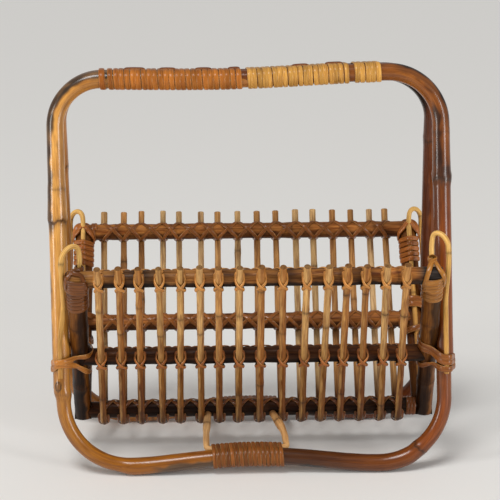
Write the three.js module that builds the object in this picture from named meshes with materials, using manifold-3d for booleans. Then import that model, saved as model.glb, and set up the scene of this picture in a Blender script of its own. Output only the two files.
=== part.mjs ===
// A magazine rack of bent bamboo poles and rattan cane, in millimetres, +Z up, its front towards -Y.
// Two rounded hoops of pole lie side by side under one wrapped handle and splay to two foot bars.
// A V of two panels hangs between them: posts and rails, closed by rods that bend under the bottom rail.
import * as THREE from 'three';
import { mergeVertices } from 'three/addons/utils/BufferGeometryUtils.js';
import Module from 'manifold-3d';

const wasm = await Module();
wasm.setup();

// Driving dimensions of the hoops
const HOOP_HALF_WIDTH = 195; // middle of the rack to the furthest pole's centreline
const HANDLE_HEIGHT = 395.5; // floor to the front pole's centreline at the handle's high, right end
const HANDLE_DROP = 5; // how much lower the handle's left end is
const HANDLE_DIP = 3; // sag of the handle between its ends
const REAR_HANDLE_DROP = 2; // how much lower the rear pole lies in the handle
const FOOT_SPREAD = 74; // middle of the rack to a foot bar's centreline, front to back
const FOOT_ARCH = 9; // rise of a foot bar's middle above its ends
const FOOT_FLAT = 0.45; // worn flats that a foot bar rests on
const POLE_DIAMETER = 17.4;
const TOP_CORNER_RADIUS = { left: 46, right: 52 };
const FOOT_CORNER_RADIUS = 67;
const SCARF_LENGTH = 52; // slanted glue joints between a hoop's two halves
const HANDLE_JOINT_X = -5; // where the two halves meet under the handle wrap
const FOOT_JOINT_X = -4;

// Driving dimensions of the V basket
const POST_INSET = 13; // the widest post's foot stands this far inside the hoops' furthest centreline
const BOTTOM_RAIL_HEIGHT = 41.4;
const TOP_RAIL_HEIGHT = 210;
const TOP_RAIL_SPREAD = 97; // middle of the rack to a top rail's centreline, front to back
const POST_DIAMETER = 18;
const POST_FOOT_DROP = 10; // posts end this far below the bottom rail's centreline
const RAIL_DIAMETER = 17;
const ROD_DIAMETER = 6.8;
const ROD_COUNT = 16;
const ROD_INSET = 28.4; // at the bottom rail, the outer rods stand this far inside the widest post
const ROD_STUB = { front: 28.5, rear: 23.5 }; // the rods stand this far above a level top rail

// Driving dimensions of the thin canes and their lashings
const CANE_DIAMETER = 5.2;
const LOOP_RISE = 31; // a corner loop's top above its top rail's centreline
const LOOP_SETTLE = 22; // the outer leg comes to lie on the pole this far above its tie
const LOOP_TAIL = 9; // and ends this far below the tie
const BRACKET_DIAMETER = 6.4;
const BRACKET_LEFT_X = -46.5; // a bracket's legs leave the foot bar here
const BRACKET_RIGHT_X = 36;
const BRACKET_BEND = 5.5; // centreline radius of a bracket's two bends
const BRACKET_LEG_ASIDE = 1.2; // a leg's seat stands this far off the middle of the space between two rods
const FIT_GAP = 0.3; // between pieces that touch
const WRAP_THICKNESS = 1.2;
const HANDLE_WRAP_INSET = { left: 0, right: 10 }; // the wrap's ends short of the widest hoop's top corners
const WRAP_GAP = 0.7; // bare pole between two turns of a wrap
const LASHING_WIDTH = 2.4;
const CORNER_LASHING_WIDTH = 4.8;
const CORNER_LASHING_PITCH = 6;
const CORNER_LASHING_DROP = 14.5; // the uppermost turn's centreline below the top rail's
const TIE_WIDTH = 3.4;
const TIE_DROP = 4; // a tie's middle on the pole below the middle rail's centreline
const TIE_OFFSET = 3.5; // its two turns lie this far above and below that

// Counts
const POLE_SIDES = 12;
const RAIL_SIDES = 12;
const ROD_SIDES = 8;
const CANE_SIDES = 6;
const RUN_STEPS = 8;
const CORNER_STEPS = 7;
const SIDE_STEPS = 4;
const BEND_STEPS = 6;
const BASE_STEPS = 6;
const ARCH_STEPS = 8;
const STRIP_SIDES = 3;
const HANDLE_TURNS = { left: 22, right: 24 };
const FOOT_TURNS = 11;
const CORNER_TURNS = 5;

// Pole centrelines as shares of the hoops' half width, at the top corners and at the foot corners
const pole_top_shares = {
  front: { left: 0.983, right: 0.973 },
  rear: { left: 0.985, right: 0.955 },
};
const pole_foot_shares = {
  front: { left: 0.976, right: 1 },
  rear: { left: 1, right: 0.985 },
};

// Post centrelines as shares of the basket's half width, at the top rails and at the bottom rail
const post_top_shares = {
  front: { left: 0.927, right: 0.959 },
  rear: { left: 0.968, right: 0.95 },
};
const post_foot_shares = {
  front: { left: 0.964, right: 1 },
  rear: { left: 0.964, right: 0.978 },
};

// Rails up the panel, as shares of the distance from the bottom rail to a level top rail
const rail_up_shares = {
  front: { top: 1.008, middle: 0.432 },
  rear: { top: 0.99, middle: 0.478 },
};

// The outer rods close in a little towards the top rails, as shares of their spread at the bottom rail
const rod_top_spread_shares = { front: 0.959, rear: 0.994 };

// Hand-set rods wander from even spacing, in shares of it, along the bottom rail and along the top rails
const rod_foot_wander_shares = [
  0, 0, -0.07, 0.01, -0.09, -0.02, -0.1, -0.13, -0.05, 0.09, 0.1, 0.06, 0.03, 0.07, 0.11, 0,
];
const rod_front_wander_shares = [
  0, 0.02, -0.03, -0.04, 0.01, -0.07, -0.15, -0.12, -0.07, -0.02, 0.14, 0.2, 0.11, 0.03, 0.02, 0,
];
const rod_rear_wander_shares = [
  -0.14, -0.09, -0.15, 0, -0.15, 0.02, -0.09, -0.02, 0.01, 0.01, 0.07, 0, 0.05, 0.03, 0.03, -0.14,
];

// Each loop's rise, as a share of the left front one's
const loop_rise_shares = {
  front: { left: 1, right: 1.35 },
  rear: { left: 0.8, right: 0.8 },
};

// A corner lashing swells over the loop's inner leg, eight steps a turn from the outer face round the inside
const lashing_bulge_shares = [1, 1, 1, 1.27, 1.545, 1.27, 1, 1];

// The cross over the rail's end: places across, out and up in shares of the post's radius, then where the
// ridge faces
const lashing_cross_shares = [
  { place: [0.84, 0.84, -1.15], facing: [0.6, 0.8, 0] },
  { place: [0, 1.27, -0.22], facing: [0, 1, 0] },
  { place: [-0.67, 0.98, 0.67], facing: [0, 0.83, 0.56] },
  { place: [-0.89, 0, 1.18], facing: [0, 0, 1] },
  { place: [-0.89, -1.06, 0.56], facing: [0, -0.9, 0.45] },
  { place: [-0.98, -1.1, -0.5], facing: [-0.5, -0.87, 0] },
  { place: [-1.2, -0.34, -1.28], facing: [-1, -0.2, 0] },
  { place: [-1.07, 0.67, -1.2], facing: [-0.8, 0.6, 0] },
  { place: [0, 1.56, -0.11], facing: [0, 1, 0] },
  { place: [0.61, 1.2, 0.74], facing: [0, 0.83, 0.56] },
  { place: [0.78, 0, 1.22], facing: [0, 0, 1] },
  { place: [0.78, -1.06, 0.56], facing: [0, -0.9, 0.45] },
];

// A rail lashing stands off a rod's side by its own width, crosses the rod near the rail's lower edge and
// stands higher where it turns from the rail's face to the rod's side
const beside_share = 1.05;
const cross_share = 0.1;
const twist_share = 0.5;
const turn_height_share = 1.06;

// How far a middle tie has climbed from the pole to the rail at each place of a turn
const tie_climb_shares = {
  poleSide: 0,
  poleFront: 0,
  legFront: 0,
  legInside: 0.1,
  postFront: 0.5,
  postInside: 0.9,
  besideRail: 1,
  behindLeg: 0.95,
  behindPost: 0.8,
  backAboveNext: -0.3,
  backAtEnd: 1.4,
};
const diagonal_share = Math.SQRT1_2;

// A loop's inner leg starts this many post radii up the post
const loop_foot_share = 3.1;

// A bracket's base lies this far up the foot bar's inner side. Its legs rise between these rods and the next.
const bracket_tilt = THREE.MathUtils.degToRad(30);
const bracket_left_rod = 5;
const bracket_right_rod = 8;

// Sizes worked out from the driving dimensions
const FACES = ['front', 'rear'];
const SIDES = ['left', 'right'];
const FACE_SIGN = { front: -1, rear: 1 };
const SIDE_SIGN = { left: -1, right: 1 };
const QUARTER_TURN = Math.PI / 2;
const FULL_TURN = Math.PI * 2;
const poleRadius = POLE_DIAMETER / 2;
const railRadius = RAIL_DIAMETER / 2;
const postRadius = POST_DIAMETER / 2;
const rodRadius = ROD_DIAMETER / 2;
const caneRadius = CANE_DIAMETER / 2;
const bracketRadius = BRACKET_DIAMETER / 2;
const footCentre = poleRadius - FOOT_FLAT;
const handleSpread = poleRadius + FIT_GAP / 2;
const basketHalfWidth = HOOP_HALF_WIDTH - POST_INSET;
const rodHalfSpread = basketHalfWidth - ROD_INSET;
const hoopRise = HANDLE_HEIGHT - footCentre;
const hoopLean = Math.atan2(FOOT_SPREAD - handleSpread, hoopRise);
const hoopLength = Math.hypot(FOOT_SPREAD - handleSpread, hoopRise);
const panelLean = Math.atan2(TOP_RAIL_SPREAD, TOP_RAIL_HEIGHT - BOTTOM_RAIL_HEIGHT);
const panelLength = Math.hypot(TOP_RAIL_SPREAD, TOP_RAIL_HEIGHT - BOTTOM_RAIL_HEIGHT);
const rodOut = railRadius + rodRadius + FIT_GAP;
const legOut = postRadius + caneRadius + FIT_GAP;
const overrun = POLE_DIAMETER; // cutters reach this far past what they cut

// Materials, from the photographed colours
function finish(color, roughness) {
  return () => new THREE.MeshStandardMaterial({ color, roughness, metalness: 0 });
}
const goldenPole = finish(0xc48a3c, 0.35);
const brownPole = finish(0x7a3c16, 0.32);
const darkRail = finish(0x6e4524, 0.45);
const goldenRail = finish(0x9c6632, 0.45);
const postBamboo = finish(0x75501f, 0.45);
const honeyRod = finish(0xb9823e, 0.45);
const paleCane = finish(0xd9ae68, 0.5);
const redLashing = finish(0x99562a, 0.4);
const paleLashing = finish(0xb07c40, 0.45);
const orangeWrap = finish(0xc47c34, 0.45);
const yellowWrap = finish(0xd29f4e, 0.45);

const rack = new THREE.Group();

function addGroup(position, tilt) {
  const group = new THREE.Group();
  group.position.copy(position);
  group.rotation.x = tilt;
  group.updateMatrixWorld(true);
  rack.add(group);
  return group;
}

function addPiece(parent, name, geometry, material) {
  const mesh = new THREE.Mesh(geometry, material());
  mesh.name = name;
  parent.add(mesh);
  return mesh;
}

// Each hoop stands in a leaning plane: local X across the rack, local Y up the poles from the foot bar
const hoopGroups = {};
const panelGroups = {};
for (const face of FACES) {
  const sign = FACE_SIGN[face];
  const footPlace = new THREE.Vector3(0, sign * FOOT_SPREAD, footCentre);
  const railPlace = new THREE.Vector3(0, 0, BOTTOM_RAIL_HEIGHT);
  hoopGroups[face] = addGroup(footPlace, QUARTER_TURN + sign * hoopLean);
  panelGroups[face] = addGroup(railPlace, QUARTER_TURN - sign * panelLean);
}

// Points given along a hoop's or a panel's own plane; out is square to the panel, away from the basket
function onHoop(face, x, up) {
  const sign = FACE_SIGN[face];
  return new THREE.Vector3(
    x,
    sign * (FOOT_SPREAD - up * Math.sin(hoopLean)),
    footCentre + up * Math.cos(hoopLean),
  );
}

function onPanel(face, x, up, out) {
  const sign = FACE_SIGN[face];
  return new THREE.Vector3(
    x,
    sign * (up * Math.sin(panelLean) + out * Math.cos(panelLean)),
    BOTTOM_RAIL_HEIGHT + up * Math.cos(panelLean) - out * Math.sin(panelLean),
  );
}

function panelDirection(face, x, up, out) {
  return onPanel(face, x, up, out).sub(onPanel(face, 0, 0, 0)).normalize();
}

// A route through stations of its own choice, so that bends get more steps than straight runs
class StationRoute extends THREE.Curve {
  constructor(stations) {
    super();
    this.stations = stations;
  }

  getPoint(share, target = new THREE.Vector3()) {
    const last = this.stations.length - 1;
    const place = share * last;
    const index = Math.min(Math.floor(place), last - 1);
    return target.copy(this.stations[index]).lerp(this.stations[index + 1], place - index);
  }

  getPointAt(share, target) {
    return this.getPoint(share, target);
  }

  getTangentAt(share, target = new THREE.Vector3()) {
    const last = this.stations.length - 1;
    const index = Math.round(share * last);
    const here = this.stations[index];
    target.set(0, 0, 0);
    if (index > 0) target.add(here.clone().sub(this.stations[index - 1]).normalize());
    if (index < last) target.add(this.stations[index + 1].clone().sub(here).normalize());
    return target.normalize();
  }
}

function roundSection(radius, sides) {
  const corners = [];
  for (let i = 0; i < sides; i += 1) {
    const angle = (FULL_TURN * i) / sides;
    corners.push(new THREE.Vector2(radius * Math.cos(angle), radius * Math.sin(angle)));
  }
  return new THREE.Shape(corners);
}

function pole(stations, radius, sides) {
  const steps = stations.length - 1;
  const extrudePath = new StationRoute(stations);
  return new THREE.ExtrudeGeometry(roundSection(radius, sides), { extrudePath, steps, bevelEnabled: false });
}

// Booleans: a closed three.js geometry becomes a solid, and the cut solid becomes a geometry again
function solid(geometry) {
  const bare = geometry.clone();
  bare.deleteAttribute('normal');
  bare.deleteAttribute('uv');
  const merged = mergeVertices(bare);
  const vertProperties = new Float32Array(merged.attributes.position.array);
  const triVerts = new Uint32Array(merged.index.array);
  return new wasm.Manifold(new wasm.Mesh({ numProp: 3, vertProperties, triVerts }));
}

function geometryOf(body) {
  const mesh = body.getMesh();
  const geometry = new THREE.BufferGeometry();
  geometry.setAttribute('position', new THREE.BufferAttribute(new Float32Array(mesh.vertProperties), 3));
  geometry.setIndex(new THREE.BufferAttribute(new Uint32Array(mesh.triVerts), 1));
  geometry.computeVertexNormals();
  return geometry;
}

function cut(geometry, cutters) {
  let body = solid(geometry);
  for (const cutter of cutters) body = body.subtract(solid(cutter));
  return geometryOf(body);
}

function intoGroup(group, geometry) {
  return geometry.applyMatrix4(group.matrixWorld.clone().invert());
}

// Smooth rise from 0 to 1, and a bump of height 1 between two level ends
function ease(share) {
  return share * share * (3 - 2 * share);
}

function bump(share) {
  return 16 * share * share * (1 - share) * (1 - share);
}

// Centreline of a hoop's top and foot runs, up the hoop's plane, at a place across the rack
function poleX(face, side, level) {
  const shares = level === 'top' ? pole_top_shares : pole_foot_shares;
  return SIDE_SIGN[side] * HOOP_HALF_WIDTH * shares[face][side];
}

function runEnds(face, level) {
  const left = level === 'top' ? TOP_CORNER_RADIUS.left : FOOT_CORNER_RADIUS;
  const right = level === 'top' ? TOP_CORNER_RADIUS.right : FOOT_CORNER_RADIUS;
  return { left: poleX(face, 'left', level) + left, right: poleX(face, 'right', level) - right };
}

function cornerDrop(beyond, radius) {
  return radius - Math.sqrt(radius * radius - beyond * beyond);
}

function topUp(face, x) {
  const ends = runEnds(face, 'top');
  const rightUp = hoopLength - (face === 'rear' ? REAR_HANDLE_DROP : 0);
  const leftUp = rightUp - HANDLE_DROP;
  if (x < ends.left) return leftUp - cornerDrop(ends.left - x, TOP_CORNER_RADIUS.left);
  if (x > ends.right) return rightUp - cornerDrop(x - ends.right, TOP_CORNER_RADIUS.right);
  const share = (x - ends.left) / (ends.right - ends.left);
  return leftUp + HANDLE_DROP * ease(share) - HANDLE_DIP * bump(share);
}

function footUp(face, x) {
  const ends = runEnds(face, 'foot');
  return FOOT_ARCH * bump((x - ends.left) / (ends.right - ends.left));
}

// One half of a hoop: half the handle, a top corner, a side, a foot corner and half the foot bar
function hoopStations(face, side) {
  const sign = SIDE_SIGN[side];
  const topRadius = TOP_CORNER_RADIUS[side];
  const topEnd = runEnds(face, 'top')[side];
  const footEnd = runEnds(face, 'foot')[side];
  const topStart = HANDLE_JOINT_X - (sign * SCARF_LENGTH) / 2;
  const footStart = FOOT_JOINT_X - (sign * SCARF_LENGTH) / 2;
  const topCentreUp = topUp(face, topEnd) - topRadius;
  const stations = [];
  for (let i = 0; i < RUN_STEPS; i += 1) {
    const x = THREE.MathUtils.lerp(topStart, topEnd, i / RUN_STEPS);
    stations.push(new THREE.Vector3(x, topUp(face, x), 0));
  }
  for (let i = 0; i < CORNER_STEPS; i += 1) {
    const angle = (QUARTER_TURN * i) / CORNER_STEPS;
    const x = topEnd + sign * topRadius * Math.sin(angle);
    stations.push(new THREE.Vector3(x, topCentreUp + topRadius * Math.cos(angle), 0));
  }
  for (let i = 0; i < SIDE_STEPS; i += 1) {
    const share = i / SIDE_STEPS;
    const x = THREE.MathUtils.lerp(poleX(face, side, 'top'), poleX(face, side, 'foot'), share);
    stations.push(new THREE.Vector3(x, THREE.MathUtils.lerp(topCentreUp, FOOT_CORNER_RADIUS, share), 0));
  }
  for (let i = 0; i < CORNER_STEPS; i += 1) {
    const angle = (QUARTER_TURN * i) / CORNER_STEPS;
    const x = footEnd + sign * FOOT_CORNER_RADIUS * Math.cos(angle);
    stations.push(new THREE.Vector3(x, FOOT_CORNER_RADIUS * (1 - Math.sin(angle)), 0));
  }
  for (let i = 0; i <= RUN_STEPS; i += 1) {
    const x = THREE.MathUtils.lerp(footEnd, footStart, i / RUN_STEPS);
    stations.push(new THREE.Vector3(x, footUp(face, x), 0));
  }
  return stations;
}

// Cutter of a scarf joint: the wedge above the slant for a left half, below it for a right half
function scarfCutter(side, x, up) {
  const reach = SCARF_LENGTH; // twice the joint's half length
  const rise = POLE_DIAMETER;
  const shift = (FIT_GAP / 2) * -SIDE_SIGN[side];
  const corner = side === 'left' ? [x + reach, up + rise + shift] : [x - reach, up - rise + shift];
  const outline = new THREE.Shape([
    new THREE.Vector2(x - reach, up + rise - shift),
    new THREE.Vector2(x + reach, up - rise - shift),
    new THREE.Vector2(...corner),
  ]);
  const depth = 2 * overrun;
  const wedge = new THREE.ExtrudeGeometry(outline, { depth, bevelEnabled: false });
  return wedge.translate(0, 0, -depth / 2);
}

function hoopHalf(face, side) {
  const body = pole(hoopStations(face, side), poleRadius, POLE_SIDES);
  const width = 2 * (HOOP_HALF_WIDTH + overrun);
  const floor = new THREE.BoxGeometry(width, 2 * FOOT_SPREAD + width, overrun);
  floor.translate(0, 0, -overrun / 2);
  return cut(body, [
    scarfCutter(side, HANDLE_JOINT_X, topUp(face, HANDLE_JOINT_X)),
    scarfCutter(side, FOOT_JOINT_X, footUp(face, FOOT_JOINT_X)),
    intoGroup(hoopGroups[face], floor),
  ]);
}

for (const face of FACES) {
  addPiece(hoopGroups[face], `${face}_hoop_left`, hoopHalf(face, 'left'), goldenPole);
  addPiece(hoopGroups[face], `${face}_hoop_right`, hoopHalf(face, 'right'), brownPole);
}

// Posts and rails of the two panels; local Y runs up the panel from the bottom rail's centreline
function railUp(face, level) {
  return panelLength * rail_up_shares[face][level];
}

function postX(face, side, up) {
  const foot = post_foot_shares[face][side];
  const top = post_top_shares[face][side];
  const share = THREE.MathUtils.lerp(foot, top, up / railUp(face, 'top'));
  return SIDE_SIGN[side] * basketHalfWidth * share;
}

function postAxis(face, side, from, to) {
  return [from, to].map((up) => new THREE.Vector3(postX(face, side, up), up, 0));
}

function acrossRod(up, fromX, toX, radius, sides) {
  return pole([new THREE.Vector3(fromX, up, 0), new THREE.Vector3(toX, up, 0)], radius, sides);
}

// The side pole of a hoop where a post crosses it, grown by the fit gap, as the cutter of the post's notch
function sidePole(face, side) {
  const first = RUN_STEPS + CORNER_STEPS;
  const stations = hoopStations(face, side).slice(first, first + SIDE_STEPS + 1);
  return pole(stations, poleRadius + FIT_GAP, POLE_SIDES);
}

function post(face, side) {
  const sign = FACE_SIGN[face];
  const topLevel = railUp(face, 'top');
  const body = pole(postAxis(face, side, -overrun, topLevel), postRadius, RAIL_SIDES);
  const railCutter = acrossRod(topLevel, -HOOP_HALF_WIDTH, HOOP_HALF_WIDTH, railRadius + FIT_GAP, RAIL_SIDES);
  const width = 2 * HOOP_HALF_WIDTH;
  const mitre = new THREE.BoxGeometry(width, width, width);
  mitre.translate(0, sign * (FIT_GAP / 2 - width / 2), BOTTOM_RAIL_HEIGHT);
  const footing = new THREE.BoxGeometry(width, width, width);
  footing.translate(0, 0, BOTTOM_RAIL_HEIGHT - POST_FOOT_DROP - width / 2);
  const crossing = sidePole(face, side).applyMatrix4(hoopGroups[face].matrixWorld);
  const group = panelGroups[face];
  return cut(body, [
    railCutter,
    intoGroup(group, mitre),
    intoGroup(group, footing),
    intoGroup(group, crossing),
  ]);
}

function grownPost(face, side) {
  return pole(postAxis(face, side, -2 * overrun, panelLength), postRadius + FIT_GAP, RAIL_SIDES);
}

function topRail(face) {
  const up = railUp(face, 'top');
  const from = postX(face, 'left', up) - postRadius;
  const to = postX(face, 'right', up) + postRadius;
  return geometryOf(solid(acrossRod(up, from, to, railRadius, RAIL_SIDES)));
}

function middleRail(face) {
  const up = railUp(face, 'middle');
  const rail = acrossRod(up, postX(face, 'left', up), postX(face, 'right', up), railRadius, RAIL_SIDES);
  return cut(rail, [grownPost(face, 'left'), grownPost(face, 'right')]);
}

function bottomRail() {
  const level = new THREE.Matrix4().makeTranslation(0, 0, BOTTOM_RAIL_HEIGHT);
  const from = postX('front', 'left', 0);
  const to = postX('rear', 'right', 0);
  const rail = acrossRod(0, from, to, railRadius, RAIL_SIDES).applyMatrix4(level);
  const cutters = [];
  for (const face of FACES) {
    for (const side of SIDES) {
      cutters.push(grownPost(face, side).applyMatrix4(panelGroups[face].matrixWorld));
    }
  }
  return cut(rail, cutters);
}

for (const face of FACES) {
  const group = panelGroups[face];
  for (const side of SIDES) addPiece(group, `${face}_post_${side}`, post(face, side), postBamboo);
  addPiece(group, `${face}_top_rail`, topRail(face), goldenRail);
  addPiece(group, `${face}_middle_rail`, middleRail(face), face === 'front' ? darkRail : goldenRail);
}
addPiece(rack, 'bottom_rail', bottomRail(), darkRail);

// Rods: each goes down the front, round under the bottom rail and up the rear, outside all the rails
const rodWander = {
  foot: rod_foot_wander_shares,
  front: rod_front_wander_shares,
  rear: rod_rear_wander_shares,
};

function rodPlace(index, level) {
  const spread = rodHalfSpread * (level === 'foot' ? 1 : rod_top_spread_shares[level]);
  const pitch = (2 * spread) / (ROD_COUNT - 1);
  const wander = rodWander[level][index] ?? 0;
  return -spread + pitch * (index + wander);
}

function rodX(index, face, up) {
  const share = THREE.MathUtils.clamp(up / railUp(face, 'top'), 0, 1);
  return THREE.MathUtils.lerp(rodPlace(index, 'foot'), rodPlace(index, face), share);
}

function rodStations(index) {
  const frontTop = panelLength + ROD_STUB.front;
  const rearTop = panelLength + ROD_STUB.rear;
  const stations = [onPanel('front', rodX(index, 'front', frontTop), frontTop, rodOut)];
  const bend = Math.PI - 2 * panelLean;
  const radius = rodOut / Math.cos(bend / BEND_STEPS / 2);
  for (let i = 0; i <= BEND_STEPS; i += 1) {
    const angle = bend * (i / BEND_STEPS - 1 / 2);
    stations.push(new THREE.Vector3(
      rodPlace(index, 'foot'),
      radius * Math.sin(angle),
      BOTTOM_RAIL_HEIGHT - radius * Math.cos(angle),
    ));
  }
  stations.push(onPanel('rear', rodX(index, 'rear', rearTop), rearTop, rodOut));
  return stations;
}

for (let index = 0; index < ROD_COUNT; index += 1) {
  const number = String(index + 1).padStart(2, '0');
  const body = pole(rodStations(index), rodRadius, ROD_SIDES);
  addPiece(rack, `rod_${number}`, geometryOf(solid(body)), honeyRod);
}

// Windings: a strip of split cane, flat underneath and ridged on top, swept through stations.
// A station has the place of the strip's underside and the direction that its ridge faces.
function station(place, out) {
  return { place, out: out.clone().normalize() };
}

function stripRings(stations, width, thickness) {
  const last = stations.length - 1;
  return stations.map((here, index) => {
    const before = stations[Math.max(index - 1, 0)].place;
    const after = stations[Math.min(index + 1, last)].place;
    const along = after.clone().sub(before).normalize();
    const across = along.clone().cross(here.out).normalize();
    const ridge = across.clone().cross(along).normalize();
    return [
      here.place.clone().addScaledVector(across, -width / 2),
      here.place.clone().addScaledVector(across, width / 2),
      here.place.clone().addScaledVector(ridge, thickness),
    ];
  });
}

// The ends run straight on for one strip width
function withStraightEnds(stations, width) {
  const last = stations.length - 1;
  const beyond = (end, inner) => {
    const place = end.place.clone().sub(inner.place).setLength(width).add(end.place);
    return station(place, end.out);
  };
  return [beyond(stations[0], stations[1]), ...stations, beyond(stations[last], stations[last - 1])];
}

function leastSelfGap(rings, turnSteps) {
  let least = Infinity;
  const apart = Math.ceil(turnSteps / 2) + 1;
  for (let i = 0; i < rings.length; i += 1) {
    for (let j = i + apart; j < rings.length; j += 1) {
      for (const a of rings[i]) {
        for (const b of rings[j]) least = Math.min(least, a.distanceTo(b));
      }
    }
  }
  return least;
}

function middleOf(points) {
  const sum = new THREE.Vector3();
  for (const point of points) sum.add(point);
  return sum.divideScalar(points.length);
}

// Each side of a twisted strip folds along the diagonal that lies further out, so that it stays full
function winding(name, route, width, thickness, turnSteps) {
  const rings = stripRings(withStraightEnds(route, width), width, thickness);
  const positions = [];
  for (const ring of rings) {
    for (const corner of ring) positions.push(corner.x, corner.y, corner.z);
  }
  const index = [];
  for (let i = 0; i < rings.length - 1; i += 1) {
    const middle = middleOf([...rings[i], ...rings[i + 1]]);
    const bulge = (k, m) => middleOf([rings[i][k], rings[i + 1][m]]).distanceTo(middle);
    for (let k = 0; k < STRIP_SIDES; k += 1) {
      const next = (k + 1) % STRIP_SIDES;
      const a = i * STRIP_SIDES + k;
      const b = i * STRIP_SIDES + next;
      const aNext = a + STRIP_SIDES;
      const bNext = b + STRIP_SIDES;
      if (bulge(next, k) > bulge(k, next)) index.push(b, a, aNext, b, aNext, bNext);
      else index.push(b, a, bNext, a, aNext, bNext);
    }
  }
  const end = (rings.length - 1) * STRIP_SIDES;
  index.push(0, 1, 2, end, end + 2, end + 1);
  const geometry = new THREE.BufferGeometry();
  geometry.setAttribute('position', new THREE.Float32BufferAttribute(positions, 3));
  geometry.setIndex(index);
  geometry.computeVertexNormals();
  const gap = leastSelfGap(rings, turnSteps);
  console.log(`${name}: least gap to itself ${gap.toFixed(2)} mm`);
  return geometry;
}

// How far out flat chords must start so that a winding of so many steps clears a round pole
function clearRadius(radius, chordAngle) {
  return (radius + FIT_GAP) / Math.cos(chordAngle / 2);
}

// The handle wrap goes round both hoops at once: down over the front pole, back under and up the rear pole
function handleWrap(side, startX, endX) {
  const turns = HANDLE_TURNS[side];
  const endSteps = 4;
  const turnSteps = 2 * (endSteps + 1);
  const pitch = (endX - startX) / (turns + 1);
  const fromX = startX + pitch / 2;
  const radius = clearRadius(poleRadius + FIT_GAP / 2, Math.PI / endSteps);
  const route = [];
  for (let k = 0; k <= turns * turnSteps; k += 1) {
    const step = k % turnSteps;
    const onFront = step <= endSteps;
    const face = onFront ? 'front' : 'rear';
    const angle = (Math.PI * (onFront ? step : turnSteps - 1 - step)) / endSteps;
    const out = new THREE.Vector3(0, FACE_SIGN[face] * Math.sin(angle), Math.cos(angle));
    const x = fromX + (pitch * k) / turnSteps;
    const centre = onHoop(face, x, topUp(face, x));
    route.push(station(centre.addScaledVector(out, radius), out));
  }
  return winding(`handle_wrap_${side}`, route, pitch - WRAP_GAP, WRAP_THICKNESS, turnSteps);
}

function handleWrapEnd(side) {
  return SIDE_SIGN[side] * (HOOP_HALF_WIDTH - TOP_CORNER_RADIUS[side] - HANDLE_WRAP_INSET[side]);
}

addPiece(rack, 'handle_wrap_left', handleWrap('left', handleWrapEnd('left'), HANDLE_JOINT_X), orangeWrap);
addPiece(rack, 'handle_wrap_right', handleWrap('right', HANDLE_JOINT_X, handleWrapEnd('right')), yellowWrap);

// Foot brackets: a cane lies along the inner side of each foot bar, and its two legs run to the bottom rail
const bracketOut = poleRadius + bracketRadius + FIT_GAP;

function footBar(face, x) {
  return onHoop(face, x, footUp(face, x));
}

function inward(face, angle) {
  return new THREE.Vector3(0, -FACE_SIGN[face] * Math.cos(angle), Math.sin(angle));
}

function bracketBase(face, x) {
  return footBar(face, x).addScaledVector(inward(face, bracket_tilt), bracketOut);
}

function betweenRods(index) {
  return (rodPlace(index, 'foot') + rodPlace(index + 1, 'foot')) / 2;
}

function bracketStations(face) {
  const rail = new THREE.Vector3(0, 0, BOTTOM_RAIL_HEIGHT);
  const corners = [];
  for (const [x, between] of [[BRACKET_LEFT_X, bracket_left_rod], [BRACKET_RIGHT_X, bracket_right_rod]]) {
    const corner = bracketBase(face, x);
    const seatX = betweenRods(between) + FACE_SIGN[face] * BRACKET_LEG_ASIDE;
    const toCorner = corner.clone().sub(rail).setX(0).setLength(bracketRadius);
    corners.push({ corner, seat: rail.clone().add(toCorner).setX(seatX) });
  }
  const stations = [corners[0].seat];
  corners.forEach(({ corner, seat }, index) => {
    const along = index === 0 ? 1 : -1;
    const toLeg = seat.clone().sub(corner).normalize();
    const toBase = new THREE.Vector3(along, 0, 0);
    const bend = [];
    for (let i = 0; i <= BEND_STEPS; i += 1) {
      const share = i / BEND_STEPS;
      const legShare = (1 - share) * (1 - share);
      const baseShare = share * share;
      const place = corner.clone().addScaledVector(toLeg, BRACKET_BEND * legShare);
      bend.push(place.addScaledVector(toBase, BRACKET_BEND * baseShare));
    }
    stations.push(...(index === 0 ? bend : bend.reverse()));
  });
  const base = [];
  const fromX = BRACKET_LEFT_X + BRACKET_BEND;
  const toX = BRACKET_RIGHT_X - BRACKET_BEND;
  for (let i = 1; i < BASE_STEPS; i += 1) {
    base.push(bracketBase(face, THREE.MathUtils.lerp(fromX, toX, i / BASE_STEPS)));
  }
  stations.splice(2 + BEND_STEPS, 0, ...base);
  stations.push(corners[1].seat);
  return stations;
}

for (const face of FACES) {
  const body = pole(bracketStations(face), bracketRadius, ROD_SIDES);
  const fromX = BRACKET_LEFT_X - overrun;
  const toX = BRACKET_RIGHT_X + overrun;
  const seat = acrossRod(0, fromX, toX, railRadius + FIT_GAP, RAIL_SIDES);
  seat.translate(0, 0, BOTTOM_RAIL_HEIGHT);
  addPiece(rack, `${face}_foot_bracket`, cut(body, [seat]), paleCane);
}

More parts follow.
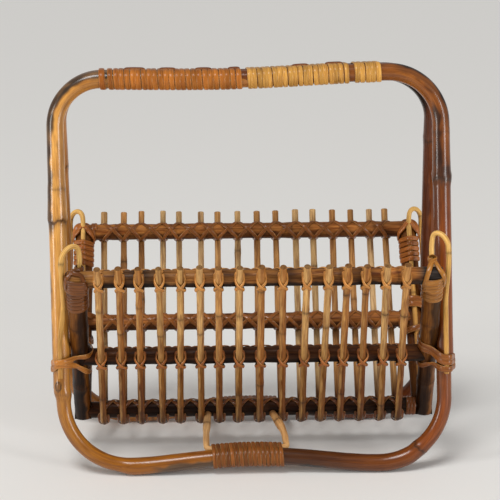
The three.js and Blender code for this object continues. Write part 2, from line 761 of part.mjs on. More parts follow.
// The foot wrap binds the bar and the bracket's base together
function footWrap(face) {
  const nip = Math.acos((poleRadius - bracketRadius) / bracketOut);
  const barSteps = 5;
  const baseSteps = 3;
  const barArc = FULL_TURN - 2 * nip;
  const barChord = clearRadius(poleRadius + FIT_GAP / 2, barArc / barSteps);
  const baseChord = clearRadius(bracketRadius + FIT_GAP / 2, nip);
  const turnSteps = barSteps + baseSteps;
  const fromX = BRACKET_LEFT_X + BRACKET_BEND + bracketRadius / 2;
  const toX = BRACKET_RIGHT_X - BRACKET_BEND - bracketRadius / 2;
  const pitch = (toX - fromX) / FOOT_TURNS;
  const route = [];
  for (let k = 0; k <= FOOT_TURNS * turnSteps; k += 1) {
    const step = k % turnSteps;
    const x = fromX + (pitch * k) / turnSteps;
    const onBar = step <= barSteps;
    const barAngle = bracket_tilt + nip + (barArc * step) / barSteps;
    const baseAngle = bracket_tilt + nip * (step - barSteps - baseSteps / 2);
    const out = inward(face, onBar ? barAngle : baseAngle);
    const centre = onBar ? footBar(face, x) : bracketBase(face, x);
    route.push(station(centre.addScaledVector(out, onBar ? barChord : baseChord), out));
  }
  return winding(`${face}_foot_wrap`, route, pitch - WRAP_GAP, WRAP_THICKNESS, turnSteps);
}

for (const face of FACES) addPiece(rack, `${face}_foot_wrap`, footWrap(face), orangeWrap);

// Rail lashings: one strand goes round the rail once for each rod, slanting down the rail's inner face,
// and comes up across the rod on the outer face.
function railLashing(name, railCentre, outward, upward, face, up, tuck) {
  const beside = rodRadius + FIT_GAP + LASHING_WIDTH * beside_share;
  const radius = clearRadius(railRadius, Math.PI / 3) * turn_height_share;
  const over = rodOut + beside;
  const route = [];
  const add = (x, out, rise, ridge) => {
    const place = railCentre.clone().setX(x).addScaledVector(outward, out).addScaledVector(upward, rise);
    const facing = new THREE.Vector3(ridge[0], 0, 0);
    facing.addScaledVector(outward, ridge[1]).addScaledVector(upward, ridge[2]);
    route.push(station(place, facing));
  };
  for (let index = 0; index < ROD_COUNT; index += 1) {
    const x = rodX(index, face, up);
    const next = rodX(Math.min(index + 1, ROD_COUNT - 1), face, up);
    add(x + tuck, 0, -radius, [twist_share, 0, -1]);
    add(x + beside, rodOut, -radius / 2, [1, 0, -twist_share]);
    add(x, over, -radius * cross_share, [0, 1, 0]);
    add(x - beside, rodOut, radius / 2, [-1, 0, twist_share]);
    add(x - tuck, 0, radius, [-twist_share, 0, 1]);
    if (next > x) {
      const slant = next - x + 2 * tuck;
      const side = radius * Math.sin(Math.PI / 3);
      add(x - tuck + slant / 3, -side, radius / 2, [0, -side, radius / 2]);
      add(x - tuck + (2 * slant) / 3, -side, -radius / 2, [0, -side, -radius / 2]);
    }
  }
  return winding(name, route, LASHING_WIDTH, WRAP_THICKNESS, 7);
}

for (const face of FACES) {
  const outward = panelDirection(face, 0, 0, 1);
  const upward = panelDirection(face, 0, 1, 0);
  for (const level of ['top', 'middle']) {
    const up = railUp(face, level);
    const name = `${face}_${level}_rail_lashing`;
    const centre = onPanel(face, 0, up, 0);
    const tuck = rodRadius;
    addPiece(
      rack,
      name,
      railLashing(name, centre, outward, upward, face, up, tuck),
      face === 'front' ? paleLashing : redLashing,
    );
  }
}
addPiece(
  rack,
  'bottom_rail_lashing',
  railLashing(
    'bottom_rail_lashing',
    new THREE.Vector3(0, 0, BOTTOM_RAIL_HEIGHT),
    new THREE.Vector3(0, 0, -1),
    new THREE.Vector3(0, -1, 0),
    'front',
    0,
    rodRadius + FIT_GAP + LASHING_WIDTH / 2,
  ),
  redLashing,
);

// Corner loops: a cane runs up a post's inner face, loops over the rail's end and comes down outside the post
// to the tie, where its outer leg lies on the hoop's pole.
function sideX(face, side, up) {
  const topCentreUp = topUp(face, runEnds(face, 'top')[side]) - TOP_CORNER_RADIUS[side];
  const share = (topCentreUp - up) / (topCentreUp - FOOT_CORNER_RADIUS);
  return THREE.MathUtils.lerp(poleX(face, side, 'top'), poleX(face, side, 'foot'), share);
}

function poleAt(face, side, height) {
  const up = (height - footCentre) / Math.cos(hoopLean);
  return onHoop(face, sideX(face, side, up), up);
}

function postAt(face, side, height) {
  const up = (height - BOTTOM_RAIL_HEIGHT) / Math.cos(panelLean);
  return onPanel(face, postX(face, side, up), up, 0);
}

const outerLegAside = postRadius / Math.cos(Math.PI / 8) + WRAP_THICKNESS + caneRadius + 2 * FIT_GAP;
const legOnPole = poleRadius + caneRadius + 2 * FIT_GAP;

function tieHeight(face) {
  return onPanel(face, 0, railUp(face, 'middle'), 0).z - TIE_DROP;
}

function cornerLoop(face, side) {
  const sign = FACE_SIGN[face];
  const aside = SIDE_SIGN[side];
  const top = railUp(face, 'top');
  const rise = LOOP_RISE * loop_rise_shares[face][side];
  const inner = (up, gaps) => onPanel(face, postX(face, side, up), up, -legOut - gaps * FIT_GAP);
  const outer = (up) => onPanel(face, postX(face, side, up) + aside * outerLegAside, up, 0);
  const onPole = (height) => poleAt(face, side, height).add(new THREE.Vector3(0, sign * legOnPole, 0));
  const half = outer(top).sub(inner(top, 3)).divideScalar(2);
  const archRadius = half.length();
  const archMiddle = inner(top, 3).add(half);
  archMiddle.z += rise - archRadius;
  const route = [
    inner(postRadius * loop_foot_share, 0),
    inner(top / 2, 0),
    inner(top - 2 * POST_DIAMETER, 0),
    inner(top, 3),
  ];
  for (let i = 0; i <= ARCH_STEPS; i += 1) {
    const angle = (Math.PI * i) / ARCH_STEPS;
    const place = archMiddle.clone().addScaledVector(half, -Math.cos(angle));
    place.z += archRadius * Math.sin(angle);
    route.push(place);
  }
  const tie = tieHeight(face);
  route.push(outer(top), outer(top - 2 * POST_DIAMETER));
  route.push(onPole(tie + LOOP_SETTLE), onPole(tie - LOOP_TAIL));
  return pole(route, caneRadius, CANE_SIDES);
}

for (const face of FACES) {
  for (const side of SIDES) {
    addPiece(rack, `${face}_corner_loop_${side}`, geometryOf(solid(cornerLoop(face, side))), paleCane);
  }
}

// Corner lashings: turns round the post and the loop's inner leg, then a cross over the rail's end
function cornerLashing(face, side) {
  const aside = SIDE_SIGN[side];
  const top = railUp(face, 'top');
  const turnSteps = lashing_bulge_shares.length;
  const radius = clearRadius(postRadius + FIT_GAP / 2, FULL_TURN / turnSteps);
  const route = [];
  const add = (dx, out, rise, facing) => {
    const up = top + rise;
    route.push(station(onPanel(face, postX(face, side, up) + aside * dx, up, out), facing));
  };
  const steps = CORNER_TURNS * turnSteps - 2;
  for (let k = 0; k <= steps; k += 1) {
    const angle = (FULL_TURN * k) / turnSteps;
    const reach = radius * lashing_bulge_shares[k % turnSteps];
    const rise = -CORNER_LASHING_DROP - (CORNER_LASHING_PITCH * (steps - k)) / turnSteps;
    const dx = -reach * Math.sin(angle);
    const out = reach * Math.cos(angle);
    add(dx, out, rise, panelDirection(face, aside * dx, 0, out));
  }
  for (const { place, facing } of lashing_cross_shares) {
    const [dx, out, rise] = place.map((share) => share * postRadius);
    const [ridgeAcross, ridgeOut, ridgeUp] = facing;
    add(dx, out, rise, panelDirection(face, aside * ridgeAcross, ridgeUp, ridgeOut));
  }
  return winding(`${face}_corner_lashing_${side}`, route, CORNER_LASHING_WIDTH, WRAP_THICKNESS, turnSteps);
}

// Middle ties: two turns bind the hoop's pole, the loop's outer leg and the post. One passes above the middle
// rail's end and the next below it.
function middleTie(face, side) {
  const sign = FACE_SIGN[face];
  const aside = SIDE_SIGN[side];
  const rail = onPanel(face, 0, railUp(face, 'middle'), 0).z;
  const tie = tieHeight(face);
  const climb = tie_climb_shares;
  const aroundPole = clearRadius(poleRadius + FIT_GAP, QUARTER_TURN / 2);
  const aroundLeg = clearRadius(caneRadius + FIT_GAP, QUARTER_TURN);
  const aroundPost = clearRadius(postRadius + FIT_GAP, QUARTER_TURN / 2);
  const leanStretch = 1 / Math.cos(panelLean);
  const legBack = (legOut + caneRadius + FIT_GAP) * leanStretch + FIT_GAP;
  const railClear = railRadius + TIE_WIDTH / 2 + 3 * FIT_GAP;
  const route = [];
  for (const turn of [1, -1]) {
    const onPole = tie + turn * TIE_OFFSET;
    const onRail = rail + turn * railClear;
    const add = (centreAt, dx, dy, climbed, ridge) => {
      const place = centreAt(face, side, THREE.MathUtils.lerp(onPole, onRail, climbed));
      place.add(new THREE.Vector3(aside * dx, sign * dy, 0));
      const lean = centreAt === postAt ? -Math.tan(panelLean) : Math.tan(hoopLean);
      route.push(station(place, new THREE.Vector3(aside * ridge[0], sign * ridge[1], ridge[1] * lean)));
    };
    const polePart = aroundPole * diagonal_share;
    const legPart = aroundLeg * diagonal_share;
    const postPart = aroundPost * diagonal_share;
    add(poleAt, aroundPole, 0, climb.poleSide, [1, 0]);
    add(poleAt, polePart, polePart, climb.poleFront, [1, 1]);
    add(poleAt, legPart, legOnPole + legPart, climb.legFront, [1, 2]);
    add(poleAt, -legPart, legOnPole + legPart, climb.legInside, [-1, 2]);
    add(postAt, 0, aroundPost * leanStretch, climb.postFront, [-1, 1]);
    add(postAt, -postPart, postPart * leanStretch, climb.postInside, [-1, 1]);
    add(postAt, -aroundPost, 0, climb.besideRail, [-1, 0]);
    add(postAt, -postRadius / 2, -legBack, climb.behindLeg, [-1, -2]);
    add(postAt, postRadius / 2, -legBack, climb.behindPost, [1, -2]);
    add(poleAt, polePart, -polePart, turn > 0 ? climb.backAboveNext : climb.backAtEnd, [1, -1]);
  }
  return winding(`${face}_middle_tie_${side}`, route, TIE_WIDTH, WRAP_THICKNESS, 10);
}

for (const face of FACES) {
  for (const side of SIDES) {
    addPiece(rack, `${face}_corner_lashing_${side}`, cornerLashing(face, side), redLashing);
    const tieColour = side === 'left' ? paleLashing : redLashing;
    addPiece(rack, `${face}_middle_tie_${side}`, middleTie(face, side), tieColour);
  }
}

export default rack;
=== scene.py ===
"""Looks of a magazine rack of bent bamboo poles and rattan cane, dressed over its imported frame.

Sizes are in millimetres until add_piece, and colours are sRGB of 0 to 255 until linear.
The front of the rack faces -Y. Places are worked out in the planes of the hoops and of the basket's panels.
"""
from math import asin, atan2, cos, degrees, hypot, pi, radians, sin, sqrt, tan

import bpy
import numpy as np
from mathutils import Matrix, Vector
from mathutils.geometry import convex_hull_2d


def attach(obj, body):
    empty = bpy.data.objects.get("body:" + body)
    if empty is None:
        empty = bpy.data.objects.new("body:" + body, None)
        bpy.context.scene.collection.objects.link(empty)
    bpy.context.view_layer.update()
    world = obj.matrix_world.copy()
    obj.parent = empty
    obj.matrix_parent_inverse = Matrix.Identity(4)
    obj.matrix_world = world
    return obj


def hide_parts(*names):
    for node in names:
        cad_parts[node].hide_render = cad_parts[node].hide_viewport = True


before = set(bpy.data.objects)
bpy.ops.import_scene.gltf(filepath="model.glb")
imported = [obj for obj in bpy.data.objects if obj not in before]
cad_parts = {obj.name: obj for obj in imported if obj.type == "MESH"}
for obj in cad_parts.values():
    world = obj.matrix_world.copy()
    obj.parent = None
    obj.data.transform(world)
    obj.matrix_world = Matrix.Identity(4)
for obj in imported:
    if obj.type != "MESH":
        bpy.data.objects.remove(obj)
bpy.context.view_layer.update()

MM = 0.001
FULL_TURN = 2 * pi
QUARTER_TURN = pi / 2
DIAGONAL = sqrt(0.5)
ACROSS, BACKWARD, UPWARD = np.eye(3)

FACES = ("front", "rear")
SIDES = ("left", "right")
CORNERS = [(face, side) for face in FACES for side in SIDES]
FACE_SIGN = {"front": -1, "rear": 1}
SIDE_SIGN = {"left": -1, "right": 1}


def by_corner(*values):
    """Values for the front left, front right, rear left and rear right corners."""
    return dict(zip(CORNERS, values))


# Sizes of the rack
HOOP_HALF_WIDTH = 195.0
HANDLE_HEIGHT = 395.5
HANDLE_DROP = 5.0
HANDLE_DIP = 3.0
REAR_HANDLE_DROP = 2.0
FOOT_SPREAD = 74.0
FOOT_ARCH = 9.0
FOOT_FLAT = 0.45
POLE_RADIUS = 8.7
CORNER_RADIUS = {"top": {"left": 46.0, "right": 52.0}, "foot": {"left": 67.0, "right": 67.0}}
SCARF_LENGTH = 52.0
HANDLE_JOINT_X = -5.0
FOOT_JOINT_X = -4.0
BASKET_HALF_WIDTH = 182.0
BOTTOM_RAIL_HEIGHT = 41.4
BOTTOM_RAIL_HALF_LENGTH = 176.0
TOP_RAIL_HEIGHT = 210.0
TOP_RAIL_SPREAD = 97.0
POST_RADIUS = 9.0
POST_RADIUS_LOW = 8.55
POST_RADIUS_HIGH = 9.35
POST_FOOT_DROP = 10.0
RAIL_RADIUS = 8.5
RAIL_SKIN = RAIL_RADIUS + 0.2
ROD_RADIUS = 3.4
ROD_COUNT = 16
ROD_INSET = 28.4
ROD_STUB = {"front": 28.5, "rear": 23.5}
CANE_RADIUS = 2.6
LOOP_RISE = by_corner(27.5, 36.5, 21.3, 20.2)
LOOP_SETTLE = 22.0
LOOP_TAIL = 9.0
LEG_ASIDE = by_corner(2.2, 0, 0, 0)
TIE_DROP = 4.0
BRACKET_RADIUS = 3.2
BRACKET_LEFT_X = -46.5
BRACKET_RIGHT_X = 36.0
BRACKET_BEND = 5.5
BRACKET_TILT = radians(30)
FIT_GAP = 0.3
SKIN_GAP = 0.4
POLE_STEP = 1.6
CANE_STEP = 1.2
STRIP_STEP = 1.25

# Shares of the half widths and of the panel's length, as in the frame
POLE_SHARES = {"top": by_corner(0.983, 0.973, 0.985, 0.955), "foot": by_corner(0.976, 1, 1, 0.985)}
POST_TOP = by_corner(0.927, 0.959, 0.968, 0.95)
POST_FOOT = by_corner(0.964, 1, 0.964, 0.978)
RAIL_SHARES = {"front": {"top": 1.008, "middle": 0.432}, "rear": {"top": 0.99, "middle": 0.478}}
ROD_TOP_SPREAD = {"front": 0.959, "rear": 0.994}
ROD_WANDER = {
    "foot": (0, 0, -0.07, 0.01, -0.09, -0.02, -0.1, -0.13, -0.05, 0.09, 0.1, 0.06, 0.03, 0.07, 0.11, 0),
    "front": (0, 0.02, -0.03, -0.04, 0.01, -0.07, -0.15, -0.12,
              -0.07, -0.02, 0.14, 0.2, 0.11, 0.03, 0.02, 0),
    "rear": (-0.14, -0.09, -0.15, 0, -0.15, 0.02, -0.09, -0.02,
             0.01, 0.01, 0.07, 0, 0.05, 0.03, 0.03, -0.14),
}

foot_centre = POLE_RADIUS - FOOT_FLAT
handle_spread = POLE_RADIUS + FIT_GAP / 2
hoop_lean = atan2(FOOT_SPREAD - handle_spread, HANDLE_HEIGHT - foot_centre)
hoop_length = hypot(FOOT_SPREAD - handle_spread, HANDLE_HEIGHT - foot_centre)
panel_lean = atan2(TOP_RAIL_SPREAD, TOP_RAIL_HEIGHT - BOTTOM_RAIL_HEIGHT)
panel_length = hypot(TOP_RAIL_SPREAD, TOP_RAIL_HEIGHT - BOTTOM_RAIL_HEIGHT)
rod_half_spread = BASKET_HALF_WIDTH - ROD_INSET
rod_out = RAIL_RADIUS + ROD_RADIUS + FIT_GAP
leg_out = POST_RADIUS + CANE_RADIUS + FIT_GAP
leg_back = leg_out + CANE_RADIUS + SKIN_GAP


# Small helpers for numbers and points

def lerp(a, b, share):
    return a + (b - a) * share


def unit(vectors):
    lengths = np.linalg.norm(vectors, axis=-1, keepdims=True)
    return vectors / np.maximum(lengths, 1e-9)


def ease(share):
    share = np.clip(share, 0, 1)
    return share * share * (3 - 2 * share)


def bump(share):
    share = np.clip(share, 0, 1)
    return 16 * share * share * (1 - share) * (1 - share)


def hill(values, middle, reach):
    return np.exp(-((values - middle) / reach) ** 2)


def span(values, start, end, soft):
    """1 between start and end, fading over a soft length outside them."""
    return ease((values - start) / soft + 1) * ease((end - values) / soft + 1)


def chord(radius, aside):
    return np.sqrt(np.maximum(radius * radius - aside * aside, 0))


def wander(values, seed, length):
    """A smooth random curve between about -1 and 1, whose waves are about as long as length."""
    source = np.random.default_rng(seed)
    total = np.zeros_like(np.asarray(values, float))
    for octave in (1, 1.7, 2.9, 4.3):
        phase = source.uniform(0, FULL_TURN)
        total += np.sin(FULL_TURN * octave * values / length / 1.6 + phase) / octave
    return total / 1.8


def corner_seed(base, face, side):
    return base + 10 * FACES.index(face) + SIDES.index(side)


def linear(colour):
    """An sRGB colour of 0 to 255 as the linear one that shaders use."""
    share = np.asarray(colour, float) / 255
    return np.where(share <= 0.04045, share / 12.92, ((share + 0.055) / 1.055) ** 2.4)


def tint(tone, colour, mask):
    return tone + (linear(colour) - tone) * np.clip(mask, 0, 1)[..., None]


def lengths_along(route):
    return np.concatenate([[0], np.cumsum(np.linalg.norm(np.diff(route[:, :3], axis=0), axis=1))])


def even(points, step):
    points = np.asarray(points, float)
    along = lengths_along(points)
    at = np.linspace(0, along[-1], max(3, round(along[-1] / step) + 1))
    return np.stack([np.interp(at, along, column) for column in points.T], axis=1)


def smooth(points, step):
    """A smooth curve through the points, sampled evenly. Columns beyond x, y and z are carried along."""
    points = np.asarray(points, float)
    knots = lengths_along(points)
    slopes = np.gradient(points, knots, axis=0)
    u = np.linspace(0, 1, 12, endpoint=False)[:, None]
    pieces = []
    for i, h in enumerate(np.diff(knots)):
        ends = (1 + 2 * u) * (1 - u) ** 2 * points[i] + u * u * (3 - 2 * u) * points[i + 1]
        turns = u * (1 - u) ** 2 * h * slopes[i] + u * u * (u - 1) * h * slopes[i + 1]
        pieces.append(ends + turns)
    return even(np.vstack(pieces + [points[-1:]]), step)


# Places on the hoops and on the basket's panels

def on_hoop(face, x, up):
    y = FACE_SIGN[face] * (FOOT_SPREAD - up * sin(hoop_lean))
    return np.array([x, y, foot_centre + up * cos(hoop_lean)])


def on_panel(face, x, up, out):
    y = FACE_SIGN[face] * (up * sin(panel_lean) + out * cos(panel_lean))
    return np.array([x, y, BOTTOM_RAIL_HEIGHT + up * cos(panel_lean) - out * sin(panel_lean)])


def panel_way(face, x, up, out):
    return unit(on_panel(face, x, up, out) - on_panel(face, 0, 0, 0))


OUTWARDS = {face: panel_way(face, 0, 0, 1) for face in FACES}
UPWARDS = {face: panel_way(face, 0, 1, 0) for face in FACES}


def pole_x(face, side, level):
    return SIDE_SIGN[side] * HOOP_HALF_WIDTH * POLE_SHARES[level][face, side]


def run_end(face, side, level):
    """Where the handle or the foot bar runs into its corner."""
    return pole_x(face, side, level) - SIDE_SIGN[side] * CORNER_RADIUS[level][side]


def run_share(face, x, level):
    left, right = (run_end(face, side, level) for side in SIDES)
    return (x - left) / (right - left)


def top_up(face, x):
    share = run_share(face, x, "top")
    right_up = hoop_length - (REAR_HANDLE_DROP if face == "rear" else 0)
    return right_up - HANDLE_DROP * (1 - ease(share)) - HANDLE_DIP * bump(share)


def foot_up(face, x):
    return FOOT_ARCH * bump(run_share(face, x, "foot"))


def handle_at(face, x):
    return on_hoop(face, x, top_up(face, x))


def foot_bar_at(face, x):
    return on_hoop(face, x, foot_up(face, x))


def side_x(face, side, up):
    centre_up = top_up(face, run_end(face, side, "top")) - CORNER_RADIUS["top"][side]
    share = (centre_up - up) / (centre_up - CORNER_RADIUS["foot"][side])
    return lerp(pole_x(face, side, "top"), pole_x(face, side, "foot"), share)


def hoop_route(face, side):
    """Half the handle, a top corner, a side, a foot corner and half the foot bar."""
    sign = SIDE_SIGN[side]
    top_radius, foot_radius = CORNER_RADIUS["top"][side], CORNER_RADIUS["foot"][side]
    top_end, foot_end = run_end(face, side, "top"), run_end(face, side, "foot")
    top_start = HANDLE_JOINT_X - sign * SCARF_LENGTH / 2
    foot_start = FOOT_JOINT_X - sign * SCARF_LENGTH / 2
    centre_up = top_up(face, top_end) - top_radius
    shares = np.linspace(0, 1, 40, endpoint=False)
    places = [(x, top_up(face, x)) for x in lerp(top_start, top_end, shares)]
    for turn in shares * QUARTER_TURN:
        places.append((top_end + sign * top_radius * sin(turn), centre_up + top_radius * cos(turn)))
    places += [(side_x(face, side, up), up) for up in lerp(centre_up, foot_radius, shares)]
    for turn in shares * QUARTER_TURN:
        places.append((foot_end + sign * foot_radius * cos(turn), foot_radius * (1 - sin(turn))))
    places += [(x, foot_up(face, x)) for x in lerp(foot_end, foot_start, np.append(shares, 1))]
    return even([on_hoop(face, x, up) for x, up in places], POLE_STEP)


def pole_at(face, side, height):
    up = (height - foot_centre) / cos(hoop_lean)
    return on_hoop(face, side_x(face, side, up), up)


def rail_up(face, level):
    return panel_length * RAIL_SHARES[face][level]


def post_x(face, side, up):
    share = lerp(POST_FOOT[face, side], POST_TOP[face, side], up / rail_up(face, "top"))
    return SIDE_SIGN[side] * BASKET_HALF_WIDTH * share


def on_post(face, side, up, aside=0.0, out=0.0):
    """A place off a post's axis: aside is towards the rack's end, out is away from the pocket."""
    return on_panel(face, post_x(face, side, up) + SIDE_SIGN[side] * aside, up, out)


def rod_place(index, level):
    spread = rod_half_spread * ROD_TOP_SPREAD.get(level, 1)
    pitch = 2 * spread / (ROD_COUNT - 1)
    return -spread + pitch * (index + ROD_WANDER[level][index])


def rod_x(index, face, up):
    share = min(max(up / rail_up(face, "top"), 0), 1)
    return lerp(rod_place(index, "foot"), rod_place(index, face), share)


# Meshes: a piece is one or more bodies of rings, whose points carry a tone and a place in the cane's fibres

def body(rings, tones, fibres, seed):
    """Closes rings of points with a fan at each end."""
    fibres = fibres + np.random.default_rng(seed).uniform(0, 400, 3)
    steps, sides = rings.shape[:2]
    middle = steps // 2
    spokes = rings[middle] - rings[middle].mean(0)
    ahead = rings[middle + 1].mean(0) - rings[middle - 1].mean(0)
    if np.cross(spokes, np.roll(spokes, -1, axis=0)).sum(0).dot(ahead) < 0:
        rings, tones, fibres = rings[:, ::-1], tones[:, ::-1], fibres[:, ::-1]
    grid = np.arange(steps * sides).reshape(steps, sides)
    turned = np.roll(grid, -1, axis=1)
    quads = np.stack([grid[:-1], turned[:-1], turned[1:], grid[1:]], axis=-1).reshape(-1, 4)
    first = np.stack([grid[0] * 0 + steps * sides, turned[0], grid[0]], axis=1)
    last = np.stack([grid[0] * 0 + steps * sides + 1, grid[-1], turned[-1]], axis=1)
    columns = np.concatenate([rings, tones, fibres], axis=-1)
    points = np.vstack([columns.reshape(-1, 9), columns[0].mean(0), columns[-1].mean(0)])
    return points, (quads, first, last)


def frames(route, reference):
    """Tangent, side and up at each place. The side keeps to the reference, or else turns the least it can."""
    tangents = unit(np.gradient(route, axis=0))
    side, sides = np.array([0.31, -0.9, 0.3]), []
    for tangent in tangents:
        wanted = side if reference is None else np.asarray(reference)
        side = unit(wanted - tangent * wanted.dot(tangent))
        sides.append(side)
    return tangents, np.array(sides), np.cross(tangents, sides)


def tube(route, radius, look, sides, seed, reference=None, mend=None):
    """A cane along an even route. look(s, a, seed) gives how far the skin stands out and the skin's tone,
    where s runs along the cane and a round it from the reference side. Its ends are cut with a worn rim."""
    tangents, side, up = frames(route, reference)
    order = np.concatenate([[0, 0, 0], np.arange(1, len(route) - 1), [-1, -1, -1]])
    inset, shrink, cut = np.zeros(len(order)), np.ones(len(order)), np.zeros(len(order))
    inset[[2, -3]] = 0.4, -0.4
    shrink[[0, 1, -2, -1]] = 0.55, 0.92, 0.92, 0.55
    cut[[0, 1, -2, -1]] = 0.75
    angles = np.linspace(0, FULL_TURN, sides, endpoint=False)
    s, a = np.meshgrid(lengths_along(route)[order] + inset, angles, indexing="ij")
    relief, tone = look(s, a, seed)
    base = np.broadcast_to(np.asarray(radius, float), len(route))[order]
    reach = (base[:, None] + relief) * shrink[:, None]
    across, over = reach * np.cos(a), reach * np.sin(a)
    centres = route[order] + tangents[order] * inset[:, None]
    side, up = side[order][:, None], up[order][:, None]
    rings = across[..., None] * side + over[..., None] * up + centres[:, None]
    if mend is not None:
        rings = mend(rings)
    return body(rings, tint(tone, CUT_CANE, cut[:, None]), np.stack([across, over, s], axis=-1), seed)


CUT_CANE = (104, 74, 42)
STRIP_HALF = [(sin(t) ** 0.85, 0.28 + 0.72 * cos(t) ** 0.8) for t in np.linspace(0, QUARTER_TURN, 5)]
STRIP_MIRRORED = [(-u, h) for u, h in reversed(STRIP_HALF[1:])]
STRIP_SECTION = np.array(STRIP_HALF + [(1, 0), (0, 0), (-1, 0)] + STRIP_MIRRORED)
# Pale tint for the rims of a strip's dome: a painted highlight along its edges
PAINTED_EDGE_HIGHLIGHT = (236, 190, 120)


def strip(stations, width, thickness, colour, seed, edge=PAINTED_EDGE_HIGHLIGHT, step=STRIP_STEP, variety=0.2):
    """A split cane, flat below and domed on top, through stations of a place and the way its top faces."""
    route = smooth(stations, step)
    places, outs = route[:, :3], route[:, 3:6]
    tangents = unit(np.gradient(places, axis=0))
    across = unit(np.cross(tangents, outs))
    ridge = unit(np.cross(across, tangents))
    along = lengths_along(places)
    taper = ease((along + 0.8) / 3) * ease((along[-1] - along + 0.8) / 3)
    wide = width * (1 + 0.07 * wander(along, seed, 37)) * (0.45 + 0.55 * taper)
    thick = thickness * (0.6 + 0.4 * taper) * (1 + 0.1 * wander(along, seed + 1, 21))
    u, h = STRIP_SECTION.T
    offset, rise = np.outer(wide / 2, u), np.outer(thick, h)
    rings = places[:, None] + offset[..., None] * across[:, None] + rise[..., None] * ridge[:, None]
    s = np.repeat(along[:, None], len(u), axis=1)
    shade = variety * wander(s, seed + 2, 90) + variety * 0.7 * wander(s + 40 * u, seed + 3, 23)
    tone = linear(colour) * (1 + shade)[..., None]
    # The rims of the dome take the edge colour: the pale default paints a highlight along each strip's edges,
    # and a dark one paints shade into the grooves between turns. The flat underside is painted darker, as
    # shade.
    rim = (np.abs(u) > 0.9) & (h > 0.2)
    tone = tint(tone, edge, 0.35 * rim * (0.6 + 0.4 * wander(s, seed + 4, 30)))
    tone = tone * np.where(h < 0.1, 0.6, 1)[:, None]
    return body(rings, np.clip(tone, 0.002, 1), np.stack([offset, rise, s], axis=-1), seed)


def belt(circles, count):
    """The taut line round some circles (x, y, radius), as evenly spaced places and the ways they face."""
    turn = np.linspace(0, FULL_TURN, 96, endpoint=False)
    rim = np.stack([np.cos(turn), np.sin(turn)], axis=1)
    cloud = np.vstack([(x, y) + radius * rim for x, y, radius in circles])
    hull = cloud[convex_hull_2d(cloud.tolist())]
    first = np.lexsort((hull[:, 1], hull[:, 0]))[0]
    hull = np.roll(hull, -first, axis=0)
    closed = np.column_stack([np.vstack([hull, hull[:1]]), np.zeros(len(hull) + 1)])
    ring = even(closed, lengths_along(closed)[-1] / count)[:-1, :2]
    ahead = np.roll(ring, -1, axis=0) - np.roll(ring, 1, axis=0)
    return np.hstack([ring, unit(np.stack([ahead[:, 1], -ahead[:, 0]], axis=1))])


def steady(*circles):
    """Circles that stay the same all along a winding."""
    return lambda share: circles


def winding(circles_at, origin_at, first, second, turns, count=32, start=0.0):
    """Stations of a strip round the belt of some circles. The circles and their origin change with the share
    of the way, and they lie in the plane of the first and second directions."""
    total = round(turns * count)
    belts = [belt(circles_at(mark), count) for mark in np.linspace(0, 1, 7)]
    stations = []
    for k in range(total + 1):
        low = min(int(k / total * 6), 5)
        spot = (k + round(start * count)) % count
        u, v, du, dv = lerp(belts[low][spot], belts[low + 1][spot], k / total * 6 - low)
        stations.append([*(origin_at(k / total) + u * first + v * second), *(du * first + dv * second)])
    return stations


# How canes look: base tones along them, node rings, stains and patches of painted light and shade, knots and
# thinner stretches

RING_LINE = (34, 20, 12)
RING_SHADE = (88, 54, 30)
KNOT_RIM = (40, 22, 12)
KNOT_HEART = (96, 66, 34)
OUTER_SIDE = QUARTER_TURN


def angle_from(a, middle):
    return (a - middle + pi) % FULL_TURN - pi


def cane_look(stops, rings=(), stains_and_painted_light=(), knots=(), tapers=(), variety=0.12, waves=0.08, flip=1):
    """A stop is (place, colour), a ring (place, swell, depth, jag, step), a stain (colour, start, end, fade,
    angle, half width, strength), a knot (place, angle, length, width, depth) and a taper (start, end, fade,
    angle, depth). The stains list also holds patches of painted shade and painted highlight, in the stain's
    form."""
    places = [place for place, _ in stops]
    tones = np.array([linear(colour) for _, colour in stops])

    def look(s, a, seed):
        turn = a * flip
        tone = np.stack([np.interp(s, places, channel) for channel in tones.T], axis=-1)
        grain = wander(7 * np.cos(turn + seed) + s / 60, seed + 1, 5) + wander(s, seed + 2, 130)
        tone = tone * (1 + variety * grain)[..., None]
        relief = waves * (wander(s, seed + 3, 70) + 0.5 * wander(s + 12 * np.cos(turn), seed + 4, 31))
        for start, end, fade, middle, depth in tapers:
            relief = relief - depth * span(s, start, end, fade) * (0.5 + 0.5 * np.cos(turn - middle))
        for number, (colour, start, end, fade, middle, half, strength) in enumerate(stains_and_painted_light):
            ragged = 0.5 * fade * wander(9 * np.cos(turn) + 5 * np.sin(turn), seed + 20 + number, 6)
            edge = 0.22 * wander(s, seed + 40 + number, 26)
            across = span(np.abs(angle_from(turn, middle)) + edge, -1, half, 0.35)
            tone = tint(tone, colour, strength * span(s + ragged, start, end, fade) * across)
        for number, (place, swell, depth, jag, step) in enumerate(rings):
            edge = place + jag * wander(5 * np.cos(turn) + 4 * np.sin(turn), seed + 60 + number, 5)
            relief = relief + swell * hill(s, edge, 5) - 0.35 * depth * hill(s, edge, 0.9)
            relief = relief + step * (1 - ease((s - edge + 0.6) / 1.2)) * ease((s - edge + 42) / 40)
            tone = tint(tone, RING_LINE, depth * hill(s, edge, 1.2))
            tone = tint(tone, RING_SHADE, 0.4 * depth * hill(s, edge, 5))
        for place, middle, length, width, depth in knots:
            far = np.hypot((s - place) / length, angle_from(turn, middle) / width)
            tone = tint(tone, KNOT_RIM, depth * hill(far, 1, 0.22))
            tone = tint(tone, KNOT_HEART, 0.6 * depth * (far < 1))
            relief = relief + 0.5 * hill(far, 0, 1.3)
        return relief, np.clip(tone, 0.002, 1)

    return look


# Materials: the pieces carry their tones, and procedural fibre, blotches and pores work over them

STREAK_COLOUR = (150, 112, 74)
BLOTCH_COLOUR = (142, 92, 52)
SHINE_COLOUR = (110, 76, 40)
PORE_COLOUR = (46, 26, 14)


